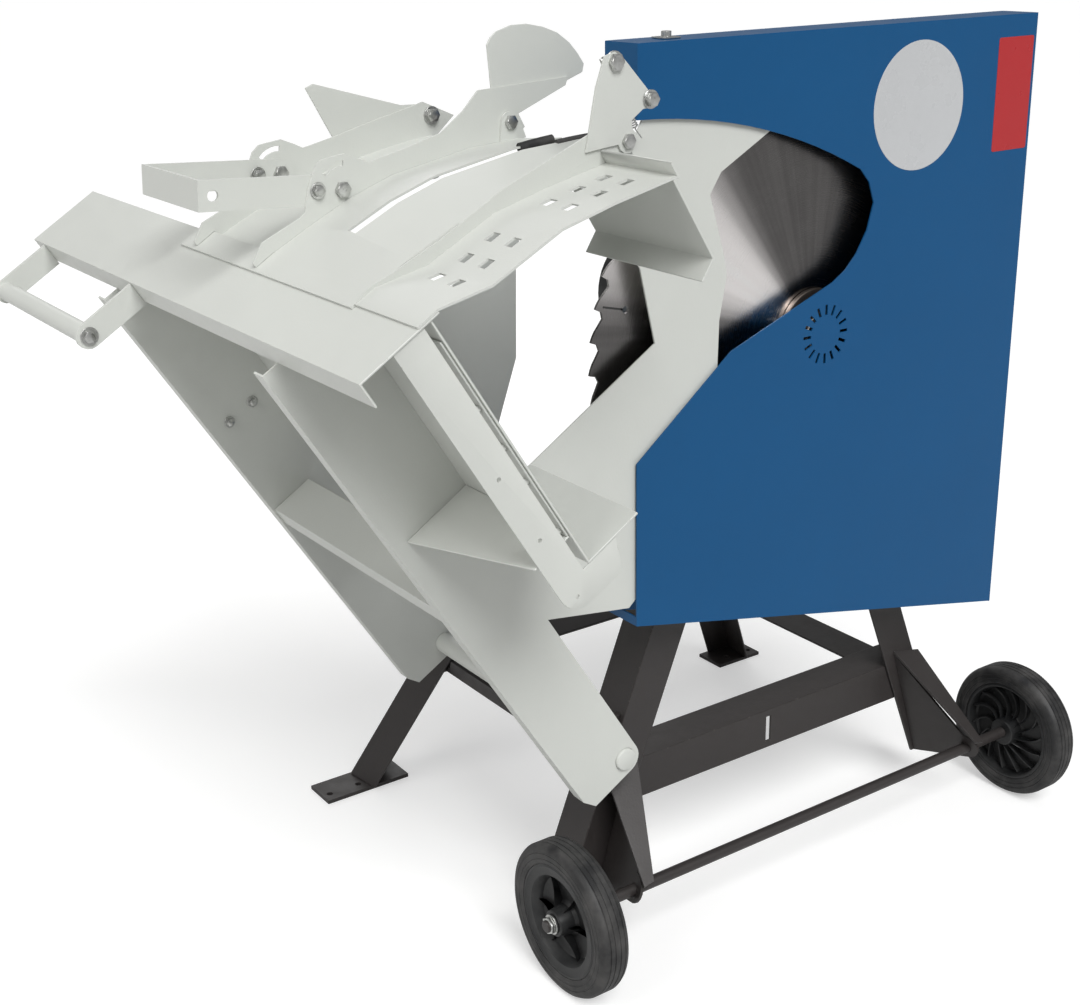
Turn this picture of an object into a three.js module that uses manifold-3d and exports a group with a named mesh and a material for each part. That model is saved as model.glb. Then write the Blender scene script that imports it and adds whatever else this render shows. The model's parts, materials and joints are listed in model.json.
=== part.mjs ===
// Firewood saw: a wheeled steel stand carries a direct-drive blade in a flat blue housing.
// A white rocker turns at the foot of its two arms and swings the log into the blade.
// Millimetres. X runs from the operator to the back, Y along the log and the axles of blade and rocker, Z up.
import * as THREE from "three";
import { mergeVertices } from "three/addons/utils/BufferGeometryUtils.js";
import Module from "manifold-3d";

const wasm = await Module();
wasm.setup();

// Fits shared by all pieces
const gap = 0.3; // between pieces that touch
const overrun = 20; // how far a cutter stands past what it cuts
const weld = 0.001; // corners closer than this are one corner
const round = 24; // sides of a plain round piece

// Blade, its arbor and the motor. The blade axis is X = 0, the blade's mid plane is Y = 0.
const axisHeight = 779;
const blade = { radius: 350, thickness: 4, teeth: 56, gullet: 11, bore: 15 };
const flange = { radius: 55, thickness: 9 };
const arborNut = { radius: 23, height: 7.5 };
const motor = { radius: 82, finHeight: 8, fins: 20, start: 97, length: 190, bearingDepth: 34 };
const cowl = { radius: 84, length: 52, wall: 2.5, slots: 8, slotLength: 34, slotWidth: 7 };
const motorPlate = { thickness: 6, halfWidth: 112, below: 139, above: 105 };

// Housing
const housing = {
  left: -302, right: 360, crown: 23, leftSkirt: 322, rightSkirt: 463,
  halfDepth: 30, sheet: 2, lowerStrip: 12,
};
const housingTop = axisHeight + blade.radius + housing.crown;
const housingLow = { left: axisHeight - housing.leftSkirt, right: axisHeight - housing.rightSkirt };
const mouth = { clearance: 13, topEnd: 25.4, kneeX: -157, kneeRise: 4, lowDrop: 111 };
const louvre = { count: 16, inner: 25, outer: 38, width: 4 };
const latch = { x: -238, radius: 6, height: 8, plateLength: 24 };

// Stand. The floor lies a little above the drawing's zero height.
const ground = 4;
const stand = { centre: -15, sheet: 4, section: 60 };
const nearLeg = { lean: 0.405, halfAtAxle: 338.6, bottom: 65, drop: 59 };
const nearLegTop = axisHeight - nearLeg.drop;
const farLeg = { lean: 0.5, halfAtFloor: 396, width: 52, overRail: 204, tiltDegrees: 16.2, footY: 577, rightShift: 10 };
const rail = { underPivot: 49, height: 60, sideHeight: 26, slotLength: 38, slotWidth: 8 };
const foot = { width: 58, thickness: 6, hole: 5, holePitch: 50, holeEdge: 12, holeDepth: 18 };
const leftFoot = { outer: -473, inner: -331 };
const rightFoot = { outer: 410, inner: 317 };

// Wheels and axle
const wheel = { radius: 101, width: 42, rimRadius: 75, hubRadius: 22, hubWidth: 52, track: 832, y: -60 };
const axleZ = ground + wheel.radius;
const axle = { radius: 8, overhang: 12, nutRadius: 13, nutHeight: 10 };
const bracket = { sheet: 4, eye: 20 };
// Corners of the left axle bracket: the root and tip of its web, and the root and end of its folded edge
const bracketWeb = { top: [-256, 33, 247], bottom: [-315, 33, 65], tip: [-332, -84, 106] };
const bracketFold = { root: [-256, 33, 247], outer: [-309, 33, 235], end: [-317, -84, 124], width: 16 };

// Rocker. It is drawn upright about its pivot and then tilted back to the operator.
const pivot = { x: -317, underBlade: 504, shaftRadius: 15, lug: 24, lugThickness: 10, lugReach: 110 };
pivot.z = axisHeight - pivot.underBlade;
rail.top = pivot.z - rail.underPivot;
farLeg.top = rail.top + farLeg.overRail;
const restTilt = 32;
const sheet = 2.5;
const arm = { left: -77, right: 22, nearY: -25.2, farY: 412, flange: 21, foot: 20 };
const shelf = { left: -56, right: 46, height: 766, lip: 30, nearY: -226, farY: 661 };
const trough = { wall: 34, floor: 430, lip: 110, nearStart: -224, farStart: 33, farEnd: 655 };
const notch = { right: 352, floorRight: 322, floorStep: 90 };
const endFrame = { left: -13.5, right: 26, bottom: 392, footRight: 75, thickness: 2.5 };
const gusset = { height: 470, front: -59, tip: -17 };
const crossPlate = { height: 362, depth: 62, lip: 28 };
const stiffener = { low: 452, high: 738, width: 62, notchDepth: 14, steps: 4 };
const slotGusset = { low: 398, front: -50 };
const handle = { reach: 76, drop: 18, radius: 12, nearY: 323, farY: 622, strap: 5, halfHeight: 15.5 };

// Hood, guard and roof, drawn about the rocker pivot. The roof is a ridge with the blade slot along its top.
const hood = { radius: 782, start: 3.6, cheekRadius: 828 };
const roof = {
  near: -107.4, far: 109.7, fall: 0.13, farEnd: 362, nearEnd: 366, stripNear: -34, slotHalf: 9, slotStart: 94,
};
const apron = { left: 15, farY: 304 };
const hinge = { radius: 790, angle: 27.5, pin: 5, boss: 13, pinHead: 9, headHeight: 5, pinLength: 12 };
const guard = {
  nearY: -226, left: 20, hole: 14, holeAcross: 13, holeRow: 149, rowPitch: 36, endHeight: 16,
};
const flap = { u: 325, bottom: 595, hem: 22, hemDrop: 11, innerTop: 658 };
const lever = { width: 102, height: 90, thickness: 2.5, bolt: 6, head: 11, boltLength: 22 };
const farHood = { side: 110, farSide: 265, bottom: 757, sheetRadius: 762, sheetEnd: 26.5 };
const lift = { u: 28, v: 859, pinU: 150, pinV: 772, innerPinShare: 0.8, halfWidth: 16.5, thickness: 4 };
const curvedSlot = { inner: 25, outer: 31, from: -18, to: 38 };
const sheetSlot = { length: 22, width: 7 };
const fan = { width: 123, height: 92 };

// Switch box on the motor
const box = { width: 58, length: 96, height: 104, y: 150, sheet: 3, corner: 8 };
const button = { radius: 11, height: 8, travel: 3, pitch: 40, collar: 15, collarHeight: 3 };
const inlet = { radius: 26, length: 42, bore: 20, depth: 30 };

const finish = {
  blue: { color: 0x1f5a92, roughness: 0.38, metalness: 0.1 },
  white: { color: 0xd9dcd6, roughness: 0.42, metalness: 0.1 },
  black: { color: 0x231f1e, roughness: 0.5, metalness: 0.2 },
  steel: { color: 0xa7a4a1, roughness: 0.25, metalness: 1 },
  zinc: { color: 0xb8bab8, roughness: 0.35, metalness: 1 },
  rubber: { color: 0x1b1b1c, roughness: 0.85, metalness: 0 },
  plastic: { color: 0x17181a, roughness: 0.55, metalness: 0 },
  grey: { color: 0x5b6168, roughness: 0.5, metalness: 0.3 },
  green: { color: 0x1f8a3b, roughness: 0.45, metalness: 0 },
  red: { color: 0xb4201c, roughness: 0.45, metalness: 0 },
};

// Solids and their joins and cuts
function solid(geometry) {
  const loose = geometry.index ? geometry.toNonIndexed() : geometry;
  const bare = new THREE.BufferGeometry();
  bare.setAttribute("position", loose.getAttribute("position"));
  const merged = mergeVertices(bare, weld);
  const triVerts = new Uint32Array(merged.index.array);
  const vertProperties = merged.attributes.position.array;
  return new wasm.Manifold(new wasm.Mesh({ numProp: 3, vertProperties, triVerts }));
}

function geometryOf(shape) {
  const mesh = shape.getMesh();
  const stride = mesh.numProp;
  const corners = new Float32Array(mesh.numVert * 3);
  for (let i = 0; i < mesh.numVert; i++) {
    corners.set(mesh.vertProperties.subarray(i * stride, i * stride + 3), i * 3);
  }
  const geometry = new THREE.BufferGeometry();
  geometry.setAttribute("position", new THREE.BufferAttribute(corners, 3));
  geometry.setIndex(new THREE.BufferAttribute(new Uint32Array(mesh.triVerts), 1));
  geometry.computeVertexNormals();
  return geometry;
}

const join = (...pieces) => geometryOf(pieces.map(solid).reduce((a, b) => a.add(b)));

const cut = (piece, ...cutters) =>
  geometryOf(cutters.map(solid).reduce((a, b) => a.subtract(b), solid(piece)));

// Plain shapes
const vector = {
  x: new THREE.Vector3(1, 0, 0),
  y: new THREE.Vector3(0, 1, 0),
  z: new THREE.Vector3(0, 0, 1),
};

// An outline pushed along an axis. Along y the outline is (x, z), along x it is (y, z), along z it is (x, y).
function prism(outline, axis, low, high) {
  const shape = new THREE.Shape(outline.map(([a, b]) => new THREE.Vector2(a, b)));
  const geometry = new THREE.ExtrudeGeometry(shape, { depth: high - low, bevelEnabled: false });
  const turn = new THREE.Matrix4();
  if (axis === "y") {
    turn.makeBasis(vector.x, vector.z, vector.y.clone().negate());
    return geometry.applyMatrix4(turn).translate(0, high, 0);
  }
  if (axis === "x") {
    turn.makeBasis(vector.y, vector.z, vector.x);
    return geometry.applyMatrix4(turn).translate(low, 0, 0);
  }
  return geometry.translate(0, 0, low);
}

const block = (x0, x1, y0, y1, z0, z1) =>
  new THREE.BoxGeometry(x1 - x0, y1 - y0, z1 - z0)
    .translate((x0 + x1) / 2, (y0 + y1) / 2, (z0 + z1) / 2);

const rodY = (radius, x, z, y0, y1, sides = round) =>
  new THREE.CylinderGeometry(radius, radius, y1 - y0, sides).translate(x, (y0 + y1) / 2, z);

const rodX = (radius, y, z, x0, x1, sides = round) =>
  new THREE.CylinderGeometry(radius, radius, x1 - x0, sides)
    .rotateZ(Math.PI / 2).translate((x0 + x1) / 2, y, z);

const rodZ = (radius, x, y, z0, z1, sides = round) =>
  new THREE.CylinderGeometry(radius, radius, z1 - z0, sides)
    .rotateX(Math.PI / 2).translate(x, y, (z0 + z1) / 2);

// A body turned about an axis along X, from (radius, x) pairs that close on themselves
const turnedX = (profile, sides = 2 * round) =>
  new THREE.LatheGeometry(profile.map(([r, x]) => new THREE.Vector2(r, x)), sides)
    .rotateZ(-Math.PI / 2);

// Points on an arc, with the angle in degrees from straight up towards +X
const polar = (radius, degrees, x = 0, z = 0) => [
  x + radius * Math.sin(THREE.MathUtils.degToRad(degrees)),
  z + radius * Math.cos(THREE.MathUtils.degToRad(degrees)),
];

function arc(radius, from, to, steps, x = 0, z = 0) {
  const points = [];
  for (let i = 0; i <= steps; i++) {
    points.push(polar(radius, from + ((to - from) * i) / steps, x, z));
  }
  return points;
}

// Outline points from a table of shares of a width and a height
const spread = (shares, width, height = width, u = 0, v = 0) =>
  shares.map(([a, b]) => [u + a * width, v + b * height]);

// A curved sheet round the rocker pivot
const archedSheet = (radius, from, to, y0, y1, steps = 10, thickness = sheet) =>
  prism([...arc(radius, from, to, steps), ...arc(radius - thickness, to, from, steps)], "y", y0, y1);

// A sheet that follows a line of points and is pushed along y
const laidSheet = (line, y0, y1) =>
  prism([...line, ...line.map(([u, v]) => [u, v - sheet]).reverse()], "y", y0, y1);

// A three-cornered sheet with its thickness below it
function facet(a, b, c) {
  const turned = (b[0] - a[0]) * (c[1] - a[1]) - (b[1] - a[1]) * (c[0] - a[0]) < 0;
  const top = turned ? [a, c, b] : [a, b, c];
  const low = top.map(([x, y, z]) => [x, y, z - sheet]);
  const faces = [top, [low[0], low[2], low[1]]];
  top.forEach((corner, i) => {
    const next = (i + 1) % top.length;
    faces.push([corner, low[i], low[next]], [corner, low[next], top[next]]);
  });
  const geometry = new THREE.BufferGeometry();
  return geometry.setAttribute("position", new THREE.Float32BufferAttribute(faces.flat(2), 3));
}

// A flat plate in space. Its outline runs along the line from one corner to the next, and square to it.
function plateThrough(root, next, third, outline, thickness) {
  const [start, ahead, side] = [root, next, third].map((corner) => new THREE.Vector3(...corner));
  const along = ahead.sub(start);
  const across = side.sub(start);
  along.normalize();
  across.addScaledVector(along, -across.dot(along)).normalize();
  const turn = new THREE.Matrix4().makeBasis(along, across, along.clone().cross(across)).setPosition(start);
  return prism(outline, "z", 0, thickness).applyMatrix4(turn);
}

// How far a point lies along a plate's first line, and square to it
function onPlate(root, next, third, point) {
  const [start, along, across, reach] = [root, next, third, point].map((corner) => new THREE.Vector3(...corner));
  along.sub(start).normalize();
  across.sub(start);
  across.addScaledVector(along, -across.dot(along)).normalize();
  reach.sub(start);
  return [reach.dot(along), reach.dot(across)];
}

// A flat bar with round ends between two points of the (x, z) plane
function capsule(ax, az, bx, bz, half, y0, y1, steps = 8) {
  const along = THREE.MathUtils.radToDeg(Math.atan2(bx - ax, bz - az));
  const outline = [
    ...arc(half, along - 90, along + 90, steps, bx, bz),
    ...arc(half, along + 90, along + 270, steps, ax, az),
  ];
  return prism(outline, "y", y0, y1);
}

// Meshes and groups
function piece(name, geometry, look) {
  const mesh = new THREE.Mesh(geometry, new THREE.MeshStandardMaterial(finish[look]));
  mesh.name = name;
  return mesh;
}

const mirrored = (x) => 2 * stand.centre - x;

function mirrorX(geometry) {
  const shape = solid(geometry).mirror([1, 0, 0]).translate([2 * stand.centre, 0, 0]);
  return geometryOf(shape);
}

// Housing: the opening lets the log, the hood and the guard swing past the blade
const openingRadius = hood.radius + mouth.clearance;
// The rounded right end of the mouth: how far in from its radius, as a share of it, and at which angle
const mouthRoundShares = [
  [0, 27.4], [0.01, 29], [0.033, 30.6], [0.075, 31.3], [0.116, 31.3], [0.148, 30.8], [0.175, 29.8],
];

function openingOutline() {
  const corner = mouthRoundShares.map(([share, degrees]) =>
    polar(openingRadius * (1 - share), degrees, pivot.x, pivot.z));
  const first = THREE.MathUtils.radToDeg(Math.asin((housing.left - pivot.x) / openingRadius));
  const top = arc(openingRadius, first, mouth.topEnd, 12, pivot.x, pivot.z);
  return [...top, ...corner, [mouth.kneeX, axisHeight + mouth.kneeRise], [housing.left, axisHeight - mouth.lowDrop]];
}

const housingOutline = () => [
  [housing.left, housingTop],
  ...openingOutline(),
  [housing.left, housingLow.left],
  [housing.right, housingLow.right],
  [housing.right, housingTop],
];

function housingCover() {
  const { left, right, halfDepth, sheet: wall, lowerStrip } = housing;
  const top = housingTop;
  const back = halfDepth - wall - gap;
  const [, mouthTop] = openingOutline()[0];
  const shell = join(
    prism(housingOutline(), "y", -halfDepth, -halfDepth + wall),
    block(left, right, -halfDepth, back, top - wall, top),
    block(right - wall, right, -halfDepth, back, housingLow.right, top),
    block(left, left + wall, -halfDepth, back, mouthTop, top),
    block(left, left + wall, -halfDepth, back, housingLow.left, housingLow.left + lowerStrip),
  );
  const slots = [];
  for (let i = 0; i < louvre.count; i++) {
    const length = louvre.outer - louvre.inner;
    const slot = new THREE.BoxGeometry(louvre.width, 2 * overrun, length);
    slot.translate(0, -halfDepth, (louvre.inner + louvre.outer) / 2);
    slot.rotateY((2 * Math.PI * i) / louvre.count).translate(0, 0, axisHeight);
    slots.push(slot);
  }
  return cut(shell, ...slots);
}

const housingBack = () =>
  cut(
    prism(housingOutline(), "y", housing.halfDepth - housing.sheet, housing.halfDepth),
    rodY(blade.bore + 4 * housing.sheet, 0, axisHeight, 0, 2 * housing.halfDepth),
  );

const coverLatch = () =>
  join(
    block(latch.x - latch.plateLength / 2, latch.x + latch.plateLength / 2,
      -latch.plateLength / 2, latch.plateLength / 2, housingTop + gap, housingTop + gap + housing.sheet),
    rodZ(latch.radius, latch.x, 0, housingTop + gap, housingTop + gap + latch.height, 12),
  );

// Blade and drive
function sawBlade() {
  const outline = [];
  const pitch = 360 / blade.teeth;
  for (let i = 0; i < blade.teeth; i++) {
    outline.push(polar(blade.radius, -i * pitch, 0, axisHeight));
    outline.push(polar(blade.radius - blade.gullet, -(i + 0.16) * pitch, 0, axisHeight));
    outline.push(polar(blade.radius - 0.45 * blade.gullet, -(i + 0.55) * pitch, 0, axisHeight));
  }
  const half = blade.thickness / 2;
  return cut(prism(outline, "y", -half, half), rodY(blade.bore + gap, 0, axisHeight, -overrun, overrun));
}

const bladeSide = blade.thickness / 2 + gap;

const outerFlange = () =>
  cut(
    rodY(flange.radius, 0, axisHeight, -bladeSide - flange.thickness, -bladeSide, 2 * round),
    rodY(blade.bore + gap, 0, axisHeight, -overrun - flange.thickness, 0),
  );

const nutFace = -bladeSide - flange.thickness - gap;

const arborNutShape = () =>
  cut(
    rodY(arborNut.radius, 0, axisHeight, nutFace - arborNut.height, nutFace, 6),
    rodY(blade.bore + gap, 0, axisHeight, nutFace - overrun, nutFace + overrun),
  );

const arborShaft = () =>
  join(
    rodY(blade.bore, 0, axisHeight, nutFace - arborNut.height, motor.start + motor.bearingDepth),
    rodY(flange.radius, 0, axisHeight, bladeSide, bladeSide + flange.thickness, 2 * round),
  );

function motorBody() {
  const outline = [];
  const pitch = 360 / motor.fins;
  for (let i = 0; i < motor.fins; i++) {
    outline.push(polar(motor.radius, -i * pitch, 0, axisHeight));
    outline.push(polar(motor.radius, -(i + 0.6) * pitch, 0, axisHeight));
    outline.push(polar(motor.radius + motor.finHeight, -(i + 0.66) * pitch, 0, axisHeight));
    outline.push(polar(motor.radius + motor.finHeight, -(i + 0.94) * pitch, 0, axisHeight));
  }
  const end = motor.start + motor.length;
  return cut(
    prism(outline, "y", motor.start, end),
    rodY(blade.bore + gap, 0, axisHeight, motor.start - overrun, motor.start + motor.bearingDepth + gap),
  );
}

function fanCowl() {
  const start = motor.start + motor.length + gap;
  const end = start + cowl.length;
  const slots = [];
  for (let i = 0; i < cowl.slots; i++) {
    const slot = new THREE.BoxGeometry(cowl.slotWidth, 2 * overrun, cowl.slotLength);
    slot.translate(0, end, cowl.slotLength);
    slots.push(slot.rotateY((2 * Math.PI * i) / cowl.slots).translate(0, 0, axisHeight));
  }
  return cut(
    rodY(cowl.radius, 0, axisHeight, start, end, 2 * round),
    rodY(cowl.radius - cowl.wall, 0, axisHeight, start - overrun, end - cowl.wall, 2 * round),
    ...slots,
  );
}

const standBack = housing.halfDepth + gap + stand.section;

const motorMount = () =>
  cut(
    block(-motorPlate.halfWidth, motorPlate.halfWidth, standBack + gap, standBack + gap + motorPlate.thickness,
      axisHeight - motorPlate.below, axisHeight + motorPlate.above),
    rodY(2 * blade.bore, 0, axisHeight, 0, motor.start + overrun),
  );

// Switch box, buttons and power inlet at the back of the motor
const boxFront = motor.radius + motor.finHeight + gap;
const boxBack = boxFront + box.width;
const boxLow = axisHeight - box.height / 2;
const buttonY = [box.y + box.length / 2 - button.pitch / 2, box.y + box.length / 2 + button.pitch / 2];
const stem = button.radius / 2;

function switchBox() {
  const bore = boxBack - button.height - button.travel - gap;
  return cut(
    block(boxFront, boxBack, box.y, box.y + box.length, boxLow, boxLow + box.height),
    ...buttonY.map((y) => rodX(button.radius + gap, y, axisHeight, bore, boxBack + overrun)),
  );
}

const pushButton = (y) =>
  rodX(button.radius, y, axisHeight, boxBack - button.height, boxBack + button.travel);

const inletY = box.y + box.length / 2;
const inletX = (boxFront + boxBack) / 2;

const powerInlet = () =>
  cut(
    rodZ(inlet.radius, inletX, inletY, boxLow - gap - inlet.length, boxLow - gap),
    rodZ(inlet.bore, inletX, inletY, boxLow - overrun - inlet.length, boxLow - gap - inlet.length + inlet.depth),
  );

// Stand. A leg is an angle section that leans in towards the blade.
const standFront = housing.halfDepth + gap;

function slantedBar(half, lean, from, to, width, y0, y1) {
  const left = (z) => stand.centre - half(z);
  const outline = [
    [left(from), from], [left(from) + width, from],
    [left(to) + width, to], [left(to), to],
  ];
  return prism(outline, "y", y0, y1);
}

const nearHalf = (z) => nearLeg.halfAtAxle - nearLeg.lean * (z - axleZ);
const farHalf = (z) => farLeg.halfAtFloor - farLeg.lean * z;

const nearLeftLeg = () =>
  join(
    slantedBar(nearHalf, nearLeg.lean, nearLeg.bottom, nearLegTop, stand.section, standFront,
      standFront + stand.sheet),
    slantedBar(nearHalf, nearLeg.lean, nearLeg.bottom, nearLegTop, 1.1 * stand.sheet, standFront, standBack),
  );

const farTilt = THREE.MathUtils.degToRad(farLeg.tiltDegrees);
const leanFar = new THREE.Matrix4().makeRotationX(farTilt).setPosition(0, farLeg.footY, 0);
const farRise = 1 / Math.cos(farTilt);

function farLeftLeg() {
  const top = farLeg.top * farRise;
  const bar = join(
    slantedBar(farHalf, farLeg.lean, -overrun, top, farLeg.width, -stand.sheet, 0),
    slantedBar(farHalf, farLeg.lean, -overrun, top, 1.1 * stand.sheet, -stand.section, 0),
  ).applyMatrix4(leanFar);
  const span = 2 * farLeg.halfAtFloor;
  return cut(bar, block(-span, span, 0, 2 * farLeg.footY, -3 * overrun, ground + foot.thickness + gap));
}

function footPlate({ outer, inner }) {
  const low = farLeg.footY - foot.width + gap;
  const inwards = Math.sign(inner - outer);
  const holes = [0, 1].map((i) =>
    rodZ(foot.hole, outer + inwards * (foot.holeEdge + i * foot.holePitch), low + foot.holeDepth, -overrun, 2 * overrun, 10));
  const [left, right] = inwards > 0 ? [outer, inner] : [inner, outer];
  return cut(block(left, right, low, low + foot.width, ground, ground + foot.thickness), ...holes);
}

function nearRail() {
  const y = standFront + stand.sheet + gap;
  const half = nearHalf(rail.top) - 1.1 * stand.sheet - gap;
  const low = rail.top - rail.height;
  const left = stand.centre - half;
  const right = stand.centre + half;
  return cut(
    join(
      block(left, right, y, y + stand.sheet, low, rail.top),
      block(left, right, y, y + stand.section, rail.top - stand.sheet, rail.top),
    ),
    block(stand.centre - rail.slotWidth / 2, stand.centre + rail.slotWidth / 2,
      y - overrun, y + overrun, low + (rail.height - rail.slotLength) / 2,
      low + (rail.height + rail.slotLength) / 2),
  );
}

const nearRailBack = standFront + stand.sheet + gap + stand.section;
const farRailLow = (rail.top - rail.height) * farRise;
const farRailTop = rail.top * farRise;

function farRail() {
  const half = farHalf(farRailTop) - 1.1 * stand.sheet - gap;
  const y = -stand.sheet - gap;
  return join(
    block(stand.centre - half, stand.centre + half, y - stand.sheet, y, farRailLow, farRailTop),
    block(stand.centre - half, stand.centre + half, y - stand.section, y, farRailTop - stand.sheet, farRailTop),
  ).applyMatrix4(leanFar);
}

// A side rail runs under the shelf of the near rail to the far rail, with its far end cut to the far rail's slope
function leftSideRail() {
  const left = stand.centre - farHalf(farRailTop) + 1.1 * stand.sheet + 2 * gap;
  const top = rail.top - stand.sheet - gap;
  const low = rail.top - rail.sideHeight;
  const start = nearRailBack - stand.section + stand.sheet + gap;
  const bar = join(
    block(left, left + stand.sheet, start, farLeg.footY, low, top),
    block(left, left + stand.section, start, farLeg.footY, top - stand.sheet, top),
  );
  const beyond = block(left - overrun, left + 2 * stand.section, -2 * stand.sheet - 2 * gap,
    farLeg.footY, -overrun, 2 * rail.top).applyMatrix4(leanFar);
  const underShelf = block(left - overrun, left + 2 * stand.section, -stand.section - stand.sheet - 2 * gap,
    farLeg.footY, farRailTop - stand.sheet - gap, 2 * rail.top).applyMatrix4(leanFar);
  return cut(bar, beyond, underShelf);
}

// Axle bracket: a web that runs out from the leg to the axle, with its upper edge folded outwards
function leftBracket() {
  const { top, bottom, tip } = bracketWeb;
  const { root, outer, end, width } = bracketFold;
  const depth = onPlate(top, bottom, tip, bottom)[0];
  // The axle's point on the web: as far square to the root as the axle's depth, at the axle's height
  const share = (top[1] - wheel.y) / (top[1] - tip[1]);
  const [tipAlong, tipAcross] = onPlate(top, bottom, tip, tip);
  const eyeAt = [tipAlong - bracket.sheet / 2, tipAcross * share];
  const web = [[0, 0], [depth, 0], ...arc(bracket.eye, 90, -90, 8, ...eyeAt)];
  const [foldWidth] = onPlate(root, outer, end, outer);
  const [endAlong, endAcross] = onPlate(root, outer, end, end);
  const fold = [[0, 0], [foldWidth, 0], [endAlong + width, endAcross], [endAlong, endAcross]];
  const bent = join(
    plateThrough(top, bottom, tip, web, bracket.sheet),
    plateThrough(root, outer, end, fold, bracket.sheet),
  );
  const far = standFront - gap;
  return cut(
    bent,
    block(-2 * wheel.track, 2 * wheel.track, far, far + 2 * stand.section, 0, 2 * rail.top),
    rodX(axle.radius + gap, wheel.y, axleZ, -wheel.track, wheel.track),
  );
}

// Wheels
const axleHalf = (wheel.track + wheel.hubWidth) / 2 + axle.overhang;

const wheelAxle = () =>
  rodX(axle.radius, wheel.y, axleZ, stand.centre - axleHalf, stand.centre + axleHalf);

function tyreShape(x) {
  const half = wheel.width / 2;
  const inner = wheel.rimRadius + gap;
  const shoulder = wheel.radius - wheel.width / 6;
  const profile = [
    [inner, -half], [shoulder, -half], [wheel.radius, -half + wheel.width / 5],
    [wheel.radius, half - wheel.width / 5], [shoulder, half], [inner, half], [inner, -half],
  ];
  return turnedX(profile).translate(x, wheel.y, axleZ);
}

function rimShape(x) {
  const half = wheel.width / 2;
  const hubHalf = wheel.hubWidth / 2;
  const bore = axle.radius + gap;
  const lip = wheel.rimRadius - wheel.width / 5;
  const web = wheel.width / 8;
  const profile = [
    [bore, -hubHalf], [wheel.hubRadius, -hubHalf], [wheel.hubRadius, -web], [lip, -web], [lip, -half],
    [wheel.rimRadius, -half], [wheel.rimRadius, half], [lip, half], [lip, web],
    [wheel.hubRadius, web], [wheel.hubRadius, hubHalf], [bore, hubHalf], [bore, -hubHalf],
  ];
  return turnedX(profile).translate(x, wheel.y, axleZ);
}

function hubNut(side) {
  const inner = side * ((wheel.track + wheel.hubWidth) / 2 + gap);
  const outer = inner + side * axle.nutHeight;
  const [low, high] = [Math.min(inner, outer), Math.max(inner, outer)].map((x) => x + stand.centre);
  return cut(
    rodX(axle.nutRadius, wheel.y, axleZ, low, high, 6),
    rodX(axle.radius + gap, wheel.y, axleZ, low - overrun, high + overrun),
  );
}

// Pivot lugs on the left legs
function nearLug() {
  const y = standFront + 2 * stand.sheet;
  const face = (z) => stand.centre - nearHalf(z) - gap;
  const low = pivot.z - pivot.lug;
  const high = pivot.z + pivot.lug;
  const outline = [
    ...arc(pivot.lug, 180, 360, 12, pivot.x, pivot.z),
    [face(high), high], [face(low), low],
  ];
  return cut(
    prism(outline, "y", y, y + pivot.lugThickness),
    rodY(pivot.shaftRadius + gap, pivot.x, pivot.z, y - overrun, y + 2 * overrun),
  );
}

const farArmBack = arm.farY + sheet;

function farLug() {
  const start = farArmBack + gap;
  const raw = block(pivot.x - pivot.lug, pivot.x + pivot.lugReach, start, farLeg.footY,
    pivot.z - pivot.lug, pivot.z + pivot.lug);
  const span = 2 * farLeg.halfAtFloor;
  const legFace = block(-span, span, -stand.section - gap, farLeg.footY, -overrun, 3 * pivot.z).applyMatrix4(leanFar);
  return cut(raw, legFace, rodY(pivot.shaftRadius + gap, pivot.x, pivot.z, 0, farLeg.footY));
}

const farLegFaceAtPivot = farLeg.footY - stand.section / Math.cos(farTilt) - pivot.z * Math.tan(farTilt);

// Rocker pieces, drawn upright about the pivot
const shaftEnd = farLegFaceAtPivot - 3 * stand.sheet;

const pivotShaft = () => rodY(pivot.shaftRadius, 0, 0, arm.nearY - 2 * sheet, shaftEnd);

// A rocker plate: the arm and a web below the log. The near one also has a cheek beside the log.
// Its lower and right edge, from the arm to the cheek, as shares of the shelf's height over the pivot.
const plateEdgeShares = [
  [0.029, 0.328], [0.151, 0.225], [0.303, 0.251], [0.439, 0.358], [0.538, 0.507],
  [0.587, 0.559], [0.601, 0.598], [0.624, 0.688], [0.659, 0.704], [0.770, 0.697],
];

// Top of the roof's ridge from the shelf to its end, as shares of the hood's radius. The last four lie over the cheek.
const roofShares = [
  [0.1176, 0.9968], [0.1931, 0.9891], [0.2660, 0.9731], [0.3887, 0.9258], [0.4361, 0.9009],
  [0.4680, 0.8849], [0.5448, 0.8402],
];
const ridge = spread(roofShares, hood.radius);
const cheekEdge = ridge.slice(4).map(([u, v]) => [u, v + roof.fall * arm.nearY - sheet - gap]).reverse();

function sidePlateOutline(withCheek) {
  const edge = withCheek ? plateEdgeShares : plateEdgeShares.slice(0, 6);
  const top = shelf.height - sheet - gap;
  const lipEnd = shelf.height - shelf.lip - gap;
  return [
    [arm.left + arm.foot / 2, -arm.foot], [0, -arm.right],
    ...arc(arm.right, 165, 90, 5),
    [arm.right, plateEdgeShares[0][1] * shelf.height], ...spread(edge.slice(1), shelf.height),
    ...(withCheek ? [...arc(hood.cheekRadius, 47, 35, 5), ...cheekEdge] : []),
    [notch.right, trough.floor + notch.floorStep], [notch.floorRight, trough.floor],
    [trough.wall, trough.floor], [trough.wall, top], [shelf.left + sheet + gap, top],
    [shelf.left + sheet + gap, lipEnd], [arm.left, lipEnd], [arm.left, 0],
  ];
}

const hingePoint = polar(hinge.radius, hinge.angle);

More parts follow.
